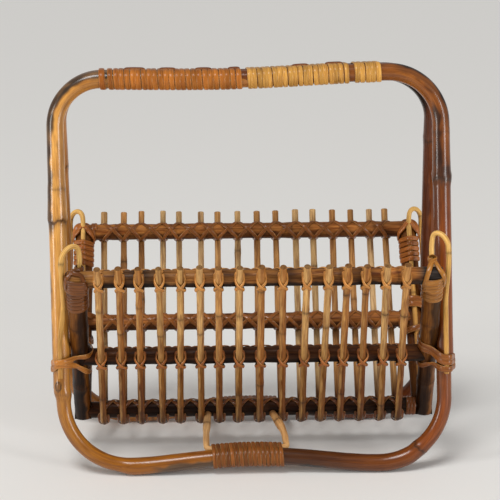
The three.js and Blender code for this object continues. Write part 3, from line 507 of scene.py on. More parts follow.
def cane_material(name, streaks, blotches, pores, roughness, coat, relief):
    material = bpy.data.materials.new(name)
    material.use_nodes = True
    tree = material.node_tree
    tree.nodes.clear()

    def add(kind, inputs, **settings):
        """A node whose inputs are given as values or as other nodes' outputs."""
        node = tree.nodes.new(f"ShaderNode{kind}")
        for key, value in settings.items():
            setattr(node, key, value)
        for key, value in inputs.items():
            if isinstance(value, bpy.types.NodeSocket):
                tree.links.new(value, node.inputs[key])
            else:
                node.inputs[key].default_value = value
        return node.outputs

    def noise(scale, detail, distortion=0.0):
        place = add("Mapping", {"Vector": fibre, "Scale": scale})["Vector"]
        texture = {"Vector": place, "Scale": 1, "Detail": detail, "Distortion": distortion}
        return add("TexNoise", texture)["Fac"]

    def ranged(source, low, high, to_low, to_high):
        limits = {"From Min": low, "From Max": high, "To Min": to_low, "To Max": to_high}
        return add("MapRange", {"Value": source, **limits})["Result"]

    def mixed(colour, other, factor, blend):
        inputs = {"Factor": factor, 6: colour, 7: (*linear(other), 1)}
        return add("Mix", inputs, data_type="RGBA", blend_type=blend)[2]

    colour = add("Attribute", {}, attribute_name="tone")["Color"]
    fibre = add("Attribute", {}, attribute_name="fibre")["Vector"]
    fine = noise((1.6, 1.6, 0.05), 5, 0.3)
    broad = noise((0.3, 0.3, 0.035), 3, 0.6)
    speck = noise((2.6, 2.6, 0.75), 2)
    colour = mixed(colour, STREAK_COLOUR, ranged(fine, 0.42, 0.68, 0, streaks), "MULTIPLY")
    colour = mixed(colour, BLOTCH_COLOUR, ranged(broad, 0.45, 0.72, 0, blotches), "MULTIPLY")
    colour = mixed(colour, SHINE_COLOUR, ranged(fine, 0.46, 0.28, 0, 0.15 * streaks), "SCREEN")
    colour = mixed(colour, PORE_COLOUR, ranged(speck, 0.66, 0.74, 0, pores), "MIX")
    bumps = add("Bump", {"Strength": relief, "Distance": 0.0004, "Height": fine})["Normal"]
    shader = {
        "Base Color": colour, "Roughness": ranged(broad, 0.3, 0.7, *roughness), "Specular IOR Level": 0.1,
        "Coat Weight": coat, "Coat Roughness": 0.2, "Normal": bumps,
    }
    add("OutputMaterial", {"Surface": add("BsdfPrincipled", shader)["BSDF"]})
    return material


golden_pole = cane_material("golden_pole", 0.5, 0.4, 0.35, (0.24, 0.42), 0.8, 0.25)
brown_pole = cane_material("brown_pole", 0.5, 0.45, 0.3, (0.2, 0.38), 0.7, 0.2)
rail_cane = cane_material("rail_cane", 0.7, 0.8, 0.6, (0.3, 0.5), 0.05, 0.4)
post_cane = cane_material("post_cane", 0.7, 0.6, 0.4, (0.28, 0.48), 0.06, 0.35)
rod_cane = cane_material("rod_cane", 0.7, 0.6, 0.4, (0.3, 0.5), 0.22, 0.4)
loop_cane = cane_material("loop_cane", 0.5, 0.4, 0.4, (0.32, 0.5), 0.18, 0.35)
lashing_cane = cane_material("lashing_cane", 0.5, 0.4, 0.15, (0.24, 0.4), 0.4, 0.3)
wrap_cane = cane_material("wrap_cane", 0.45, 0.45, 0.25, (0.3, 0.46), 0.26, 0.3)


def add_piece(node, material, slot, *bodies):
    """Makes the visible piece that stands in for a node of the frame."""
    faces, count = [], 0
    for points, groups in bodies:
        for group in groups:
            faces += (group + count).tolist()
        count += len(points)
    points, tones, fibres = np.hsplit(np.vstack([points for points, _ in bodies]), 3)
    mesh = bpy.data.meshes.new(f"{node}_cane")
    mesh.from_pydata((points * MM).tolist(), [], faces)
    opaque = np.column_stack([tones, np.ones(count)])
    tone_data = mesh.attributes.new("tone", "FLOAT_COLOR", "POINT").data
    tone_data.foreach_set("color", opaque.astype(np.float32).ravel())
    fibre_data = mesh.attributes.new("fibre", "FLOAT_VECTOR", "POINT").data
    fibre_data.foreach_set("vector", fibres.astype(np.float32).ravel())
    mesh.polygons.foreach_set("use_smooth", np.ones(len(mesh.polygons), bool))
    mesh.set_sharp_from_angle(angle=radians(50))
    mesh.materials.append(material)
    piece = bpy.data.objects.new(f"{node}_cane", mesh)
    bpy.context.scene.collection.objects.link(piece)
    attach(piece, "root")
    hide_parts(node)


# The hoops. Angles start at the side that faces the front, and the quarter turn is the outer side.

JOINT_REACH = 40.0
HOOP_LOOKS = {
    ("front", "left"): cane_look(
        # Past 480 the tones darken down the foot corner and along the foot bar, partly as painted shade
        ((0, (170, 108, 42)), (180, (180, 120, 50)), (260, (234, 172, 88)), (400, (232, 168, 82)),
         (480, (190, 128, 50)), (600, (152, 92, 20)), (764, (130, 74, 16))),
        rings=((300, 0.3, 0.45, 0.9, 0), (332, 0.35, 1, 2.4, 0.85), (506, 1.1, 0.2, 0.6, 0)),
        stains_and_painted_light=(((116, 90, 64), 120, 226, 16, 1.1, 0.7, 0.85),
                ((104, 78, 52), 226, 332, 20, 1.2, 0.55, 0.85),
                ((50, 38, 28), 150, 235, 14, 0.42, 0.05, 0.9), ((54, 40, 30), 180, 300, 14, 0.95, 0.06, 0.8),
                ((60, 42, 28), 258, 330, 12, 0.85, 0.1, 0.7), ((140, 92, 44), 232, 330, 30, -0.9, 0.3, 0.5),
                ((64, 46, 32), 386, 398, 8, 1.4, 0.4, 0.7), ((92, 56, 26), 400, 470, 40, 1.3, 0.2, 0.5),
                # (52, 36, 22) and (120, 76, 36) darken the foot bar's underside: painted shade
                ((82, 64, 46), 652, 704, 16, 1, 0.8, 0.9), ((52, 36, 22), 650, 764, 20, 1.9, 0.6, 0.8),
                ((120, 76, 36), 600, 764, 40, 2.2, 0.5, 0.5)),
        knots=((497, 0.35, 4.6, 0.36, 0.95),),
        tapers=((512, 606, 16, OUTER_SIDE, 2.8),),
    ),
    ("front", "right"): cane_look(
        # From 620 on the tones darken along the foot bar, partly as painted shade
        ((0, (110, 58, 18)), (165, (128, 72, 22)), (195, (150, 88, 30)), (230, (138, 78, 26)),
         (300, (118, 64, 21)), (330, (124, 62, 20)), (420, (142, 74, 26)), (540, (134, 70, 22)),
         (620, (108, 56, 14)), (700, (76, 39, 10)), (788, (66, 33, 9))),
        rings=((304, 1.1, 1, 2.4, 0.3), (586, 0.7, 0.95, 2, 0.3), (258, 0.25, 0.3, 0.5, 0)),
        stains_and_painted_light=(((18, 11, 10), 180, 244, 14, 1.5, 1.25, 0.97),
                ((30, 20, 18), 238, 300, 12, -0.45, 0.16, 0.85),
                ((58, 36, 26), 292, 303, 5, 0.6, 1.2, 0.8), ((190, 112, 48), 180, 240, 30, 0.5, 0.25, 0.35),
                ((22, 14, 10), 688, 706, 8, 1.35, 0.5, 0.95), ((140, 70, 28), 530, 582, 18, -0.4, 0.6, 0.5),
                # (70, 34, 14) darkens the foot bar's underside: painted shade
                ((70, 34, 14), 590, 788, 30, 2, 0.6, 0.6), ((82, 44, 20), 300, 520, 60, -1, 0.35, 0.5)),
        tapers=((500, 582, 18, OUTER_SIDE, 2.4),),
        flip=-1,
    ),
    ("rear", "left"): cane_look(
        ((0, (180, 116, 50)), (200, (186, 124, 58)), (420, (176, 116, 48)), (764, (160, 100, 40))),
        rings=((286, 0.4, 0.7, 1.2, 0.2), (470, 0.5, 0.6, 1, 0.2), (640, 0.4, 0.6, 1, 0.2)),
        stains_and_painted_light=(((92, 74, 56), 174, 300, 26, 1.2, 0.9, 0.8), ((60, 44, 30), 176, 250, 18, 0.6, 0.2, 0.7)),
    ),
    ("rear", "right"): cane_look(
        ((0, (110, 58, 24)), (200, (96, 46, 18)), (330, (94, 44, 16)), (560, (100, 48, 18)),
         (788, (108, 56, 24))),
        rings=((268, 0.5, 0.8, 1.4, 0.2), (452, 0.5, 0.7, 1.2, 0.2), (630, 0.5, 0.8, 1.2, 0.2)),
        stains_and_painted_light=(((24, 15, 11), 178, 226, 14, -1.5, 0.9, 0.95),
                ((140, 76, 26), 230, 360, 50, 0.3, 0.35, 0.5)),
        flip=-1,
    ),
}


def hoop_mend(face, side):
    """Cuts a half hoop's ends to the slants of its scarf joints and wears its feet flat."""
    upward = np.array([0, -FACE_SIGN[face] * sin(hoop_lean), cos(hoop_lean)])
    level = np.cross(ACROSS, upward)
    foot = on_hoop(face, 0, 0)
    slope = 2 * POLE_RADIUS / SCARF_LENGTH
    joints = ((HANDLE_JOINT_X, top_up(face, HANDLE_JOINT_X)), (FOOT_JOINT_X, foot_up(face, FOOT_JOINT_X)))

    def mend(rings):
        up = (rings - foot) @ upward
        for joint_x, joint_up in joints:
            off = rings[..., 0] - joint_x
            plane = joint_up - off * slope + SIDE_SIGN[side] * FIT_GAP / 2
            if side == "right":
                wanted = np.maximum(up, np.minimum(plane, up.max(axis=1, keepdims=True)))
            else:
                wanted = np.minimum(up, np.maximum(plane, up.min(axis=1, keepdims=True)))
            cut = (wanted != up) & (np.abs(off) < SCARF_LENGTH) & (np.abs(up - joint_up) < JOINT_REACH)
            middle = rings.mean(axis=1, keepdims=True)
            reach = chord(POLE_RADIUS, wanted - (middle - foot) @ upward)
            aside = (rings - middle) @ level
            rings = rings + np.where(cut, wanted - up, 0)[..., None] * upward
            rings = rings + np.where(cut, np.clip(aside, -reach, reach) - aside, 0)[..., None] * level
        rings[..., 2] = np.maximum(rings[..., 2], 0)
        return rings

    return mend


for face, side in CORNERS:
    route = hoop_route(face, side)
    radius = POLE_RADIUS + 0.12 * wander(lengths_along(route), 5 + len(side), 160)
    facing = (0, -cos(hoop_lean), -FACE_SIGN[face] * sin(hoop_lean))
    seed = corner_seed(100, face, side)
    pole = tube(route, radius, HOOP_LOOKS[face, side], 44, seed, facing, hoop_mend(face, side))
    if side == "left":
        add_piece(f"{face}_hoop_{side}", golden_pole, "golden_pole", pole)
    else:
        add_piece(f"{face}_hoop_{side}", brown_pole, "brown_pole", pole)


# Posts and rails of the basket


def panel_parts(face, rings):
    """How far points lie up the panel and out from it."""
    from_rail = rings - on_panel(face, 0, 0, 0)
    return from_rail @ UPWARDS[face], from_rail @ OUTWARDS[face]


def seat_beside(rings, axis_x, off, grown, aside):
    """Moves what would lie inside a round piece back to its skin, along the rail."""
    seat = axis_x - aside * chord(grown, off)
    inside = (np.abs(off) < grown) & (aside * (rings[..., 0] - seat) > 0)
    rings[..., 0] = np.where(inside, seat, rings[..., 0])


def clear_of_posts(rings, faces, grown):
    rings = rings.copy()
    for face, side in CORNERS:
        if face in faces:
            up, out = panel_parts(face, rings)
            seat_beside(rings, post_x(face, side, up), out, grown, SIDE_SIGN[side])
    return rings


def post_mend(face, side):
    """Seats a post under its top rail, against the other panel's post and round the hoop's pole."""
    under_rail, by_pole = RAIL_RADIUS + FIT_GAP, POLE_RADIUS + 2 * FIT_GAP

    def mend(rings):
        up, out = panel_parts(face, rings)
        over = np.where(np.abs(out) < under_rail, chord(under_rail, out), 0)
        rings = rings + np.minimum(rail_up(face, "top") - over - up, 0)[..., None] * UPWARDS[face]
        rings[..., 1] = FACE_SIGN[face] * np.maximum(FACE_SIGN[face] * rings[..., 1], FIT_GAP / 2)
        rings[..., 2] = np.maximum(rings[..., 2], BOTTOM_RAIL_HEIGHT - POST_FOOT_DROP)
        pole = lerp(pole_at(face, side, 0), pole_at(face, side, 100), rings[..., 2:] / 100)
        seat_beside(rings, pole[..., 0], rings[..., 1] - pole[..., 1], by_pole, SIDE_SIGN[side])
        return rings

    return mend


# Tones up each post from its foot, all darker towards the foot. The front left post's near-black tones below
# 90 are painted shade.
POST_TONES_AND_SHADE = by_corner(
    ((0, (26, 12, 3)), (14, (38, 18, 4)), (90, (44, 21, 5)), (200, (100, 58, 20))),
    ((0, (24, 12, 4)), (16, (60, 32, 8)), (90, (92, 53, 16)), (200, (132, 84, 32))),
    ((0, (70, 42, 18)), (90, (98, 58, 24)), (200, (120, 74, 30))),
    ((0, (70, 42, 18)), (90, (104, 60, 24)), (200, (126, 76, 30))),
)

for face, side in CORNERS:
    foot = -POST_FOOT_DROP / cos(panel_lean) - 6
    route = even([on_post(face, side, up) for up in (foot, rail_up(face, "top"))], POLE_STEP)
    radius = np.linspace(POST_RADIUS_LOW, POST_RADIUS_HIGH, len(route))
    look = cane_look(
        POST_TONES_AND_SHADE[face, side],
        rings=((62, 0.5, 0.6, 1, 0.2), (150, 0.5, 0.5, 1, 0.2)),
        # Painted light and shade on the posts' sides: low down a lit golden side (156, 96, 32) and a shaded
        # side (24, 12, 5), higher up a shaded side (24, 12, 5) and a lit golden side (148, 92, 34)
        stains_and_painted_light=(((156, 96, 32), 10, 96, 26, 0.85, 0.2, 0.6), ((24, 12, 5), 10, 92, 30, -0.5, 0.7, 0.6),
                ((24, 12, 5), 112, 220, 24, 0.75, 0.55, 0.75),
                ((148, 92, 34), 104, 190, 30, -0.7, 0.3, 0.5)),
        variety=0.16,
    )
    seed = corner_seed(200, face, side)
    post = tube(route, radius, look, 36, seed, OUTWARDS[face], post_mend(face, side))
    add_piece(f"{face}_post_{side}", post_cane, "post_bamboo", post)

# A rail's end is hollowed to this radius round a post
MIDDLE_RAIL_SEAT = 9.4
BOTTOM_RAIL_SEAT = 9.2
# In each rail's look the first stain, which runs the rail's whole length on its lower side, is painted shade
# under the rail
RAIL_LOOKS = {
    "front_top": cane_look(
        ((0, (170, 118, 62)), (30, (184, 130, 70)), (48, (110, 74, 42)), (72, (60, 44, 30)),
         (88, (120, 84, 48)), (112, (190, 132, 70)), (150, (128, 84, 44)), (180, (186, 126, 64)),
         (214, (96, 62, 34)), (236, (190, 128, 66)), (284, (92, 60, 32)), (312, (184, 120, 58)),
         (334, (150, 98, 48)), (344, (54, 50, 48)), (366, (60, 54, 50))),
        rings=((66, 0.4, 0.6, 1, 0), (186, 0.5, 0.7, 1, 0), (262, 0.4, 0.4, 1, 0), (318, 0.4, 0.5, 1, 0)),
        stains_and_painted_light=(((24, 18, 14), 40, 362, 20, 0.75, 0.75, 0.92), ((30, 24, 22), 66, 96, 8, 1.3, 0.7, 0.8),
                ((34, 28, 26), 128, 150, 8, 1.5, 0.5, 0.7), ((30, 26, 24), 208, 222, 6, 1, 0.6, 0.7)),
        variety=0.32, waves=0.3,
    ),
    "front_middle": cane_look(
        ((0, (104, 60, 26)), (60, (78, 45, 20)), (160, (64, 37, 17)), (300, (90, 50, 20)),
         (350, (70, 40, 16))),
        rings=((40, 0.5, 0.6, 1.2, 0), (118, 0.6, 0.5, 1.2, 0), (205, 0.5, 0.6, 1.2, 0),
               (290, 0.6, 0.6, 1.2, 0)),
        stains_and_painted_light=(((22, 13, 8), 0, 350, 20, 0.8, 0.85, 0.85),),
        variety=0.3, waves=0.4,
    ),
    "rear_top": cane_look(
        ((0, (168, 108, 54)), (60, (196, 130, 64)), (160, (168, 106, 50)), (250, (186, 122, 60)),
         (366, (156, 98, 50))),
        rings=((44, 0.5, 0.6, 1, 0), (140, 0.4, 0.4, 1, 0), (232, 0.5, 0.6, 1, 0), (322, 0.4, 0.5, 1, 0)),
        stains_and_painted_light=(((70, 38, 18), 0, 366, 20, -1.9, 0.55, 0.8),),
        variety=0.22, waves=0.2,
    ),
    "rear_middle": cane_look(
        ((0, (150, 96, 50)), (90, (160, 100, 48)), (180, (140, 88, 42)), (340, (156, 98, 48))),
        rings=((52, 0.5, 0.5, 1, 0), (170, 0.5, 0.6, 1, 0), (280, 0.4, 0.5, 1, 0)),
        stains_and_painted_light=(((62, 34, 16), 0, 350, 20, -1.9, 0.6, 0.8),),
        variety=0.22, waves=0.2,
    ),
    "bottom": cane_look(
        ((0, (66, 34, 13)), (100, (48, 25, 10)), (220, (58, 30, 12)), (340, (46, 24, 10))),
        rings=((60, 0.5, 0.5, 1, 0), (190, 0.5, 0.6, 1, 0), (300, 0.5, 0.5, 1, 0)),
        stains_and_painted_light=(((34, 22, 14), 0, 350, 20, 0, 1.3, 0.75),),
        variety=0.25, waves=0.25,
    ),
}


def add_rail(node, slot, ends, look, seed, reference, faces, grown):
    """A rail whose ends are seated beside the posts of the given faces."""
    def mend(rings):
        return clear_of_posts(rings, faces, grown)

    rail = tube(even(ends, POLE_STEP), RAIL_RADIUS - 0.1, look, 36, seed, reference, mend)
    add_piece(node, rail_cane, slot, rail)


for face in FACES:
    for level in ("top", "middle"):
        seed = 300 + 10 * FACES.index(face) + len(level)
        beyond = POST_RADIUS if level == "top" else 0
        ends = [on_post(face, side, rail_up(face, level), beyond) for side in SIDES]
        slot = "dark_rail" if (face, level) == ("front", "middle") else "golden_rail"
        posts, look = () if level == "top" else (face,), RAIL_LOOKS[f"{face}_{level}"]
        add_rail(f"{face}_{level}_rail", slot, ends, look, seed, OUTWARDS[face], posts, MIDDLE_RAIL_SEAT)

ends = [(sign * BOTTOM_RAIL_HALF_LENGTH, 0, BOTTOM_RAIL_HEIGHT) for sign in (-1, 1)]
add_rail("bottom_rail", "dark_rail", ends, RAIL_LOOKS["bottom"], 330, -UPWARD, FACES, BOTTOM_RAIL_SEAT)


# Rods: down the front, round under the bottom rail and up the rear

ROD_COLOURS = np.array(
    [(214, 168, 106), (204, 154, 90), (224, 180, 118), (196, 140, 76), (208, 162, 98), (186, 128, 66)]
)
# Painted light and shade on each rod's colour: low darkens the lower front run as painted shade, dark paints
# shade on the bend under the bottom rail, and inner lightens the rear run as painted light
ROD_PAINTED_SHADE_AND_LIGHT = {"low": (0.64, 0.53, 0.34), "dark": (0.5, 0.42, 0.34), "inner": (1.02, 1.08, 1.22)}


def rod_route(index, front_top, rear_top):
    def run(face, ups):
        return [on_panel(face, rod_x(index, face, up), up, rod_out) for up in ups]

    x, bend = rod_place(index, "foot"), pi - 2 * panel_lean
    places = run("front", np.linspace(front_top, 4, 12))
    for angle in np.linspace(-bend / 2, bend / 2, 9):
        places.append((x, rod_out * sin(angle), BOTTOM_RAIL_HEIGHT - rod_out * cos(angle)))
    return smooth(places + run("rear", np.linspace(4, rear_top, 12)), POLE_STEP)


for index in range(ROD_COUNT):
    source = np.random.default_rng(400 + index)
    front_top = panel_length + ROD_STUB["front"] + source.uniform(-0.8, 0.8)
    rear_top = panel_length + ROD_STUB["rear"] + source.uniform(-1, 1)
    route = rod_route(index, front_top, rear_top)
    s = lengths_along(route)
    colour = ROD_COLOURS[source.integers(len(ROD_COLOURS))]
    front = np.clip(colour + source.integers(-10, 10), 0, 255)
    low, dark, inner = (np.clip(colour * shade, 0, 255) for shade in ROD_PAINTED_SHADE_AND_LIGHT.values())
    nodes = np.arange(source.uniform(30, 100), s[-1] - 20, source.uniform(115, 165))
    look = cane_look(
        ((0, front), (90, front), (150, low), (200, low), (226, dark), (262, dark), (290, inner)),
        rings=[(place, 0.35, source.uniform(0.4, 0.8), 0.5, 0.08) for place in nodes],
        # Painted light across each rod's front run: a shaded right side (140, 84, 34) and a painted highlight
        # down the left side (230, 182, 112)
        stains_and_painted_light=(((140, 84, 34), 30, 200, 60, 0.5, 0.35, 0.55),
                ((230, 182, 112), 20, 200, 60, 2.3, 0.3, 0.45)),
        variety=0.15, waves=0.1,
    )
    radius = (ROD_RADIUS + source.uniform(-0.25, 0.1)) * (1 + 0.03 * wander(s, 420 + index, 120))
    rod = tube(route, radius, look, 20, 440 + index, ACROSS)
    add_piece(f"rod_{index + 1:02d}", rod_cane, "honey_rod", rod)


# Wraps round the handle and the foot bars

ORANGE = (176, 106, 40)
YELLOW = (208, 154, 74)
RED_BROWN = (144, 86, 38)
HONEY = (204, 140, 70)
FIRST_TURN = (164, 94, 34)
WOVEN_STRIP = (132, 70, 28)
FOOT_WRAP = (128, 75, 31)
WRAP_STEP = 1.3


def handle_skin(x, y):
    """Height of the wrap's taut belt over the two poles."""
    front, rear = (handle_at(face, x) for face in FACES)
    share = min(max((y - front[1]) / (rear[1] - front[1]), 0), 1)
    return lerp(front[2], rear[2], share) + POLE_RADIUS + FIT_GAP


def handle_circles(x):
    return [(*handle_at(face, x)[1:], POLE_RADIUS + FIT_GAP) for face in FACES]


def wrap(circles_at, start_x, end_x, turns, colour, seed, count, start, gap, sway=0.0, variety=0.24):
    """Turns of cane round the circles that circles_at gives for a place across the rack."""
    def origin(share):
        return ACROSS * (lerp(start_x, end_x, share) + sway * sin(turns * share * 2.3 + seed))

    def circles(share):
        return circles_at(lerp(start_x, end_x, share))

    stations = winding(circles, origin, BACKWARD, UPWARD, turns, count, start)
    width = (end_x - start_x) / turns - gap
    return strip(stations, width, 1.25, colour, seed, step=WRAP_STEP, variety=variety)


def woven_strip(start_x, end_x, number):
    """A short strip that is woven over some of the turns along the top of the handle."""
    y = -2.4 + 0.5 * sin(3 * number)
    stations = []
    for share in np.linspace(0, 1, 9):
        x = lerp(start_x, end_x, share)
        lift = 1.3 + 0.25 * sin(pi * share) - 0.3 * abs(1 - 2 * share) ** 6
        stations.append([x, y, handle_skin(x, y) + lift, 0, -0.1, 1])
    return strip(stations, 6.4, 1.1, WOVEN_STRIP, 520 + number, step=WRAP_STEP)


# Each group of turns is (start, end, turns, colour, seed)
HANDLE_TURNS = {
    "left": ((-146.5, -140.5, 1, FIRST_TURN, 500), (-138.3, -7.2, 24, ORANGE, 501)),
    "right": ((-1.6, 98.5, 20, YELLOW, 510), (104, 130.5, 5, YELLOW, 511)),
}
# Each woven strip is (start, end, number)
WOVEN = {
    "left": ((-123, -103, 0), (-88.5, -72.5, 1), (-53, -37, 2), (-20.5, -9, 3)),
    "right": ((42.5, 58.5, 4), (75.5, 92.5, 5)),
}
for side, slot in (("left", "orange_wrap"), ("right", "yellow_wrap")):
    strips = [wrap(handle_circles, *group, 40, 0.55, 0.25, 0.35) for group in HANDLE_TURNS[side]]
    strips += [woven_strip(*place) for place in WOVEN[side]]
    add_piece(f"handle_wrap_{side}", wrap_cane, slot, *strips)


def bracket_base(face, x):
    inward = np.array([0, -FACE_SIGN[face] * cos(BRACKET_TILT), sin(BRACKET_TILT)])
    return foot_bar_at(face, x) + inward * (POLE_RADIUS + BRACKET_RADIUS + FIT_GAP)


def foot_circles(face, x):
    bar, base = foot_bar_at(face, x), bracket_base(face, x)
    return [(*bar[1:], POLE_RADIUS + FIT_GAP + 0.35), (*base[1:], BRACKET_RADIUS + 0.25)]


for face in FACES:
    group = (BRACKET_LEFT_X + BRACKET_BEND, BRACKET_RIGHT_X - BRACKET_BEND, 16, FOOT_WRAP, 540 + len(face))
    turns = wrap(lambda x: foot_circles(face, x), *group, 36, 0.3, 0.3, variety=0.3)
    add_piece(f"{face}_foot_wrap", wrap_cane, "orange_wrap", turns)


# Foot brackets. A leg is (x on the bar, rod left of its seat, shift of the seat, bulge, way along the bar).

BRACKET_LEGS = ((BRACKET_LEFT_X, 5, -1.5, -0.8, 1), (BRACKET_RIGHT_X, 8, 2.5, 2.6, -1))


def bracket_leg(face, x, rod, shift, bulge, along):
    """From its seat under the bottom rail down to the bar, and round the bend into the base."""
    rail, corner = UPWARD * BOTTOM_RAIL_HEIGHT, bracket_base(face, x)
    seat_x = (rod_place(rod, "foot") + rod_place(rod + 1, "foot")) / 2 + FACE_SIGN[face] * 1.2 + shift
    seat = rail + unit((corner - rail) * (0, 1, 1)) * (RAIL_RADIUS + 0.5) + ACROSS * seat_x
    leg = unit(seat - corner) * BRACKET_BEND
    bulge = ACROSS * bulge
    places = [seat, lerp(seat, corner, 0.3) + 0.8 * bulge, lerp(seat, corner, 0.62) + bulge]
    for share in np.linspace(0, 1, 6):
        places.append(corner + leg * (1 - share) ** 2 + ACROSS * (along * BRACKET_BEND * share ** 2))
    return places


for face in FACES:
    left, right = (bracket_leg(face, *leg) for leg in BRACKET_LEGS)
    base = [bracket_base(face, x) for x in np.linspace(BRACKET_LEFT_X + 14, BRACKET_RIGHT_X - 14, 6)]
    route = smooth(left + base + right[::-1], CANE_STEP)
    s = lengths_along(route)
    end = s[-1]
    radius = BRACKET_RADIUS * (1.18 - 0.18 * span(s, 32, end - 32, 8) + 0.1 * hill(s, end - 22, 9))
    look = cane_look(
        ((0, (156, 106, 62)), (12, (222, 178, 124)), (60, (214, 166, 108)), (end - 10, (212, 162, 104)),
         (end, (150, 100, 56))),
        rings=((18, 0.3, 0.6, 0.6, 0), (end - 16, 0.35, 0.7, 0.6, 0)),
        variety=0.16, waves=0.15,
    )
    bracket = tube(route, radius, look, 24, 560 + len(face))
    add_piece(f"{face}_foot_bracket", loop_cane, "pale_cane", bracket)


# Rail lashings: two strands run along each rail. They cross on its inner face between two rods, and at each
# rod they come up on either side of it and cross over it.

def around_rail(theta, lift=0.0):
    """A place on the rail's skin, as out and up, where theta climbs from the outward side."""
    reach = RAIL_SKIN + lift
    return reach * cos(radians(theta)), reach * sin(radians(theta))


def rod_crossing(mirror, lift, low, spread):
    """Stations round one rod: x off the rod, out, up and the way the strip faces. low drops the crossing."""
    rows = [
        (-2.4, *around_rail(292), -0.1, 0.3, -1),
        (-3.6 * spread, 8.8, -7.0 - 0.4 * low, -0.6, 0.1, -0.8),
        (-3.8 * spread, 12, -4.4 - low, -0.9, 0.3, -0.4),
        (-2.8, 14.9 + 0.5 * lift, 0.4 - low, -0.5, 0.9, -0.1),
        (0, 16.0 + lift, 4.0 - low, 0, 1, 0),
        (2.8, 14.9 + 0.3 * lift, 7.2 - low, 0.6, 0.8, 0.1),
        (3.8 * spread, 12, 9.4 - 0.8 * low, 1, 0.3, 0.3),
        (3.7 * spread, 8.2, 9.4 - 0.4 * low, 0.8, 0.3, 0.6),
        (3.4 * spread, *around_rail(66, 0.3), 0.2, 0.4, 0.9),
        (2.2, *around_rail(90), 0, 0, 1),
    ]
    return [(mirror * x, out, up, mirror * fx, fo, fu) for x, out, up, fx, fo, fu in rows]


def rail_lashing(node, slot, basis, xs, colour, seed, width, low, spread, extra):
    """basis is the rail's middle and the ways across, out and up. extra is (start, end, turns) of some plain
    turns round the rail beside the rods."""
    centre, ways = basis[0], basis[1:]

    def put(x, out, up, *facing):
        return [*(centre + (x, out, up) @ ways), *(facing @ ways)]

    def strand(mirror, order, over):
        source = np.random.default_rng(seed + mirror)
        stations = []
        for step, index in enumerate(order):
            sway = source.uniform(-0.3, 0.3)
            for x, *rest in rod_crossing(mirror, 1.3 - over, low, spread):
                stations.append(put(xs[index] + x + sway, *rest))
            if step == len(order) - 1:
                return stations
            start, end = xs[index] + mirror * 1.2, xs[order[step + 1]] - mirror * 1.2
            for share in np.linspace(0, 1, 9):
                theta = 180 - degrees(asin(lerp(0.97, -0.97, share)))
                out, up = around_rail(theta, over * hill(share, 0.5, 0.2))
                stations.append(put(lerp(start, end, share) + sway * (1 - share), out, up, 0, out, up))

    rods = range(ROD_COUNT)
    strips = [strip(strand(1, rods, 1.3), width, 1.15, colour, seed + 11),
              strip(strand(-1, rods[::-1], 0), width, 1.15, colour, seed + 9)]
    if extra is not None:
        def origin(share):
            return centre + ACROSS * lerp(*extra[:2], share)

        stations = winding(steady((0, 0, RAIL_SKIN)), origin, *ways[1:], extra[2], 24)
        strips.append(strip(stations, width, 1.2, colour, seed + 20, variety=0.16))
    add_piece(node, lashing_cane, slot, *strips)


FRONT_LASHING_TONES = {"top": HONEY, "middle": (166, 98, 44)}

for face in FACES:
    for level in ("top", "middle"):
        up = rail_up(face, level)
        xs = [rod_x(index, face, up) for index in range(ROD_COUNT)]
        extra = None
        if face == "rear":
            extra = (xs[0] - 13, xs[0] - 7.5, 2) if level == "top" else (xs[-1] + 8, xs[-1] + 17, 3)
        seed = 600 + 10 * FACES.index(face) + 100 * (level == "top")
        width, slot = (3.0, "pale_lashing") if face == "front" else (3.8, "red_lashing")
        basis = np.array([on_panel(face, 0, up, 0), ACROSS, OUTWARDS[face], UPWARDS[face]])
        tone = FRONT_LASHING_TONES[level] if face == "front" else RED_BROWN
        spread = 1.18 if level == "middle" else 1
        rail_lashing(f"{face}_{level}_rail_lashing", slot, basis, xs, tone, seed, width, 0, spread, extra)

xs = [rod_place(index, "foot") for index in range(ROD_COUNT)]
basis = np.array([UPWARD * BOTTOM_RAIL_HEIGHT, ACROSS, -UPWARD, -BACKWARD])
extra = (xs[-1] + 8, xs[-1] + 18, 3)
rail_lashing("bottom_rail_lashing", "red_lashing", basis, xs, (116, 64, 28), 660, 3.4, 8.6, 1.3, extra)


# Corner loops: up behind the post, over the corner and down its outer side to the hoop's pole

POST_TOP_SKIN = 9.74
LASHING_ROOM = 1.2
outer_leg_aside = POST_TOP_SKIN + LASHING_ROOM + CANE_RADIUS + 2 * FIT_GAP
leg_on_pole = POLE_RADIUS + CANE_RADIUS + 2 * FIT_GAP


def tie_height(face):
    return on_panel(face, 0, rail_up(face, "middle"), 0)[2] - TIE_DROP


def inner_leg(face, side, up, gaps=0):
    return on_post(face, side, up, -LEG_ASIDE[face, side], -leg_out - gaps * FIT_GAP)


def outer_leg(face, side, up):
    return on_post(face, side, up, outer_leg_aside)


def leg_by_pole(face, side, rise):
    return pole_at(face, side, tie_height(face) + rise) + BACKWARD * (FACE_SIGN[face] * leg_on_pole)


def loop_route(face, side):
    top = rail_up(face, "top")
    half = (outer_leg(face, side, top) - inner_leg(face, side, top, 3)) / 2
    reach = np.linalg.norm(half)
    middle = inner_leg(face, side, top, 3) + half + UPWARD * (LOOP_RISE[face, side] - reach)
    places = [inner_leg(face, side, up) for up in np.linspace(POST_RADIUS * 3.1, top - 30, 7)]
    places += [inner_leg(face, side, top - 12, 1), inner_leg(face, side, top, 3)]
    for angle in np.linspace(0, pi, 9):
        places.append(middle - half * cos(angle) + UPWARD * (reach * sin(angle)))
    places += [outer_leg(face, side, up) for up in (top, top - 18, top - 36)]
    if face == "front":
        places.append(lerp(places[-1], leg_by_pole(face, side, LOOP_SETTLE), 0.5))
    places += [leg_by_pole(face, side, rise) for rise in (LOOP_SETTLE, 9, 0, -LOOP_TAIL)]
    return smooth(places, CANE_STEP)


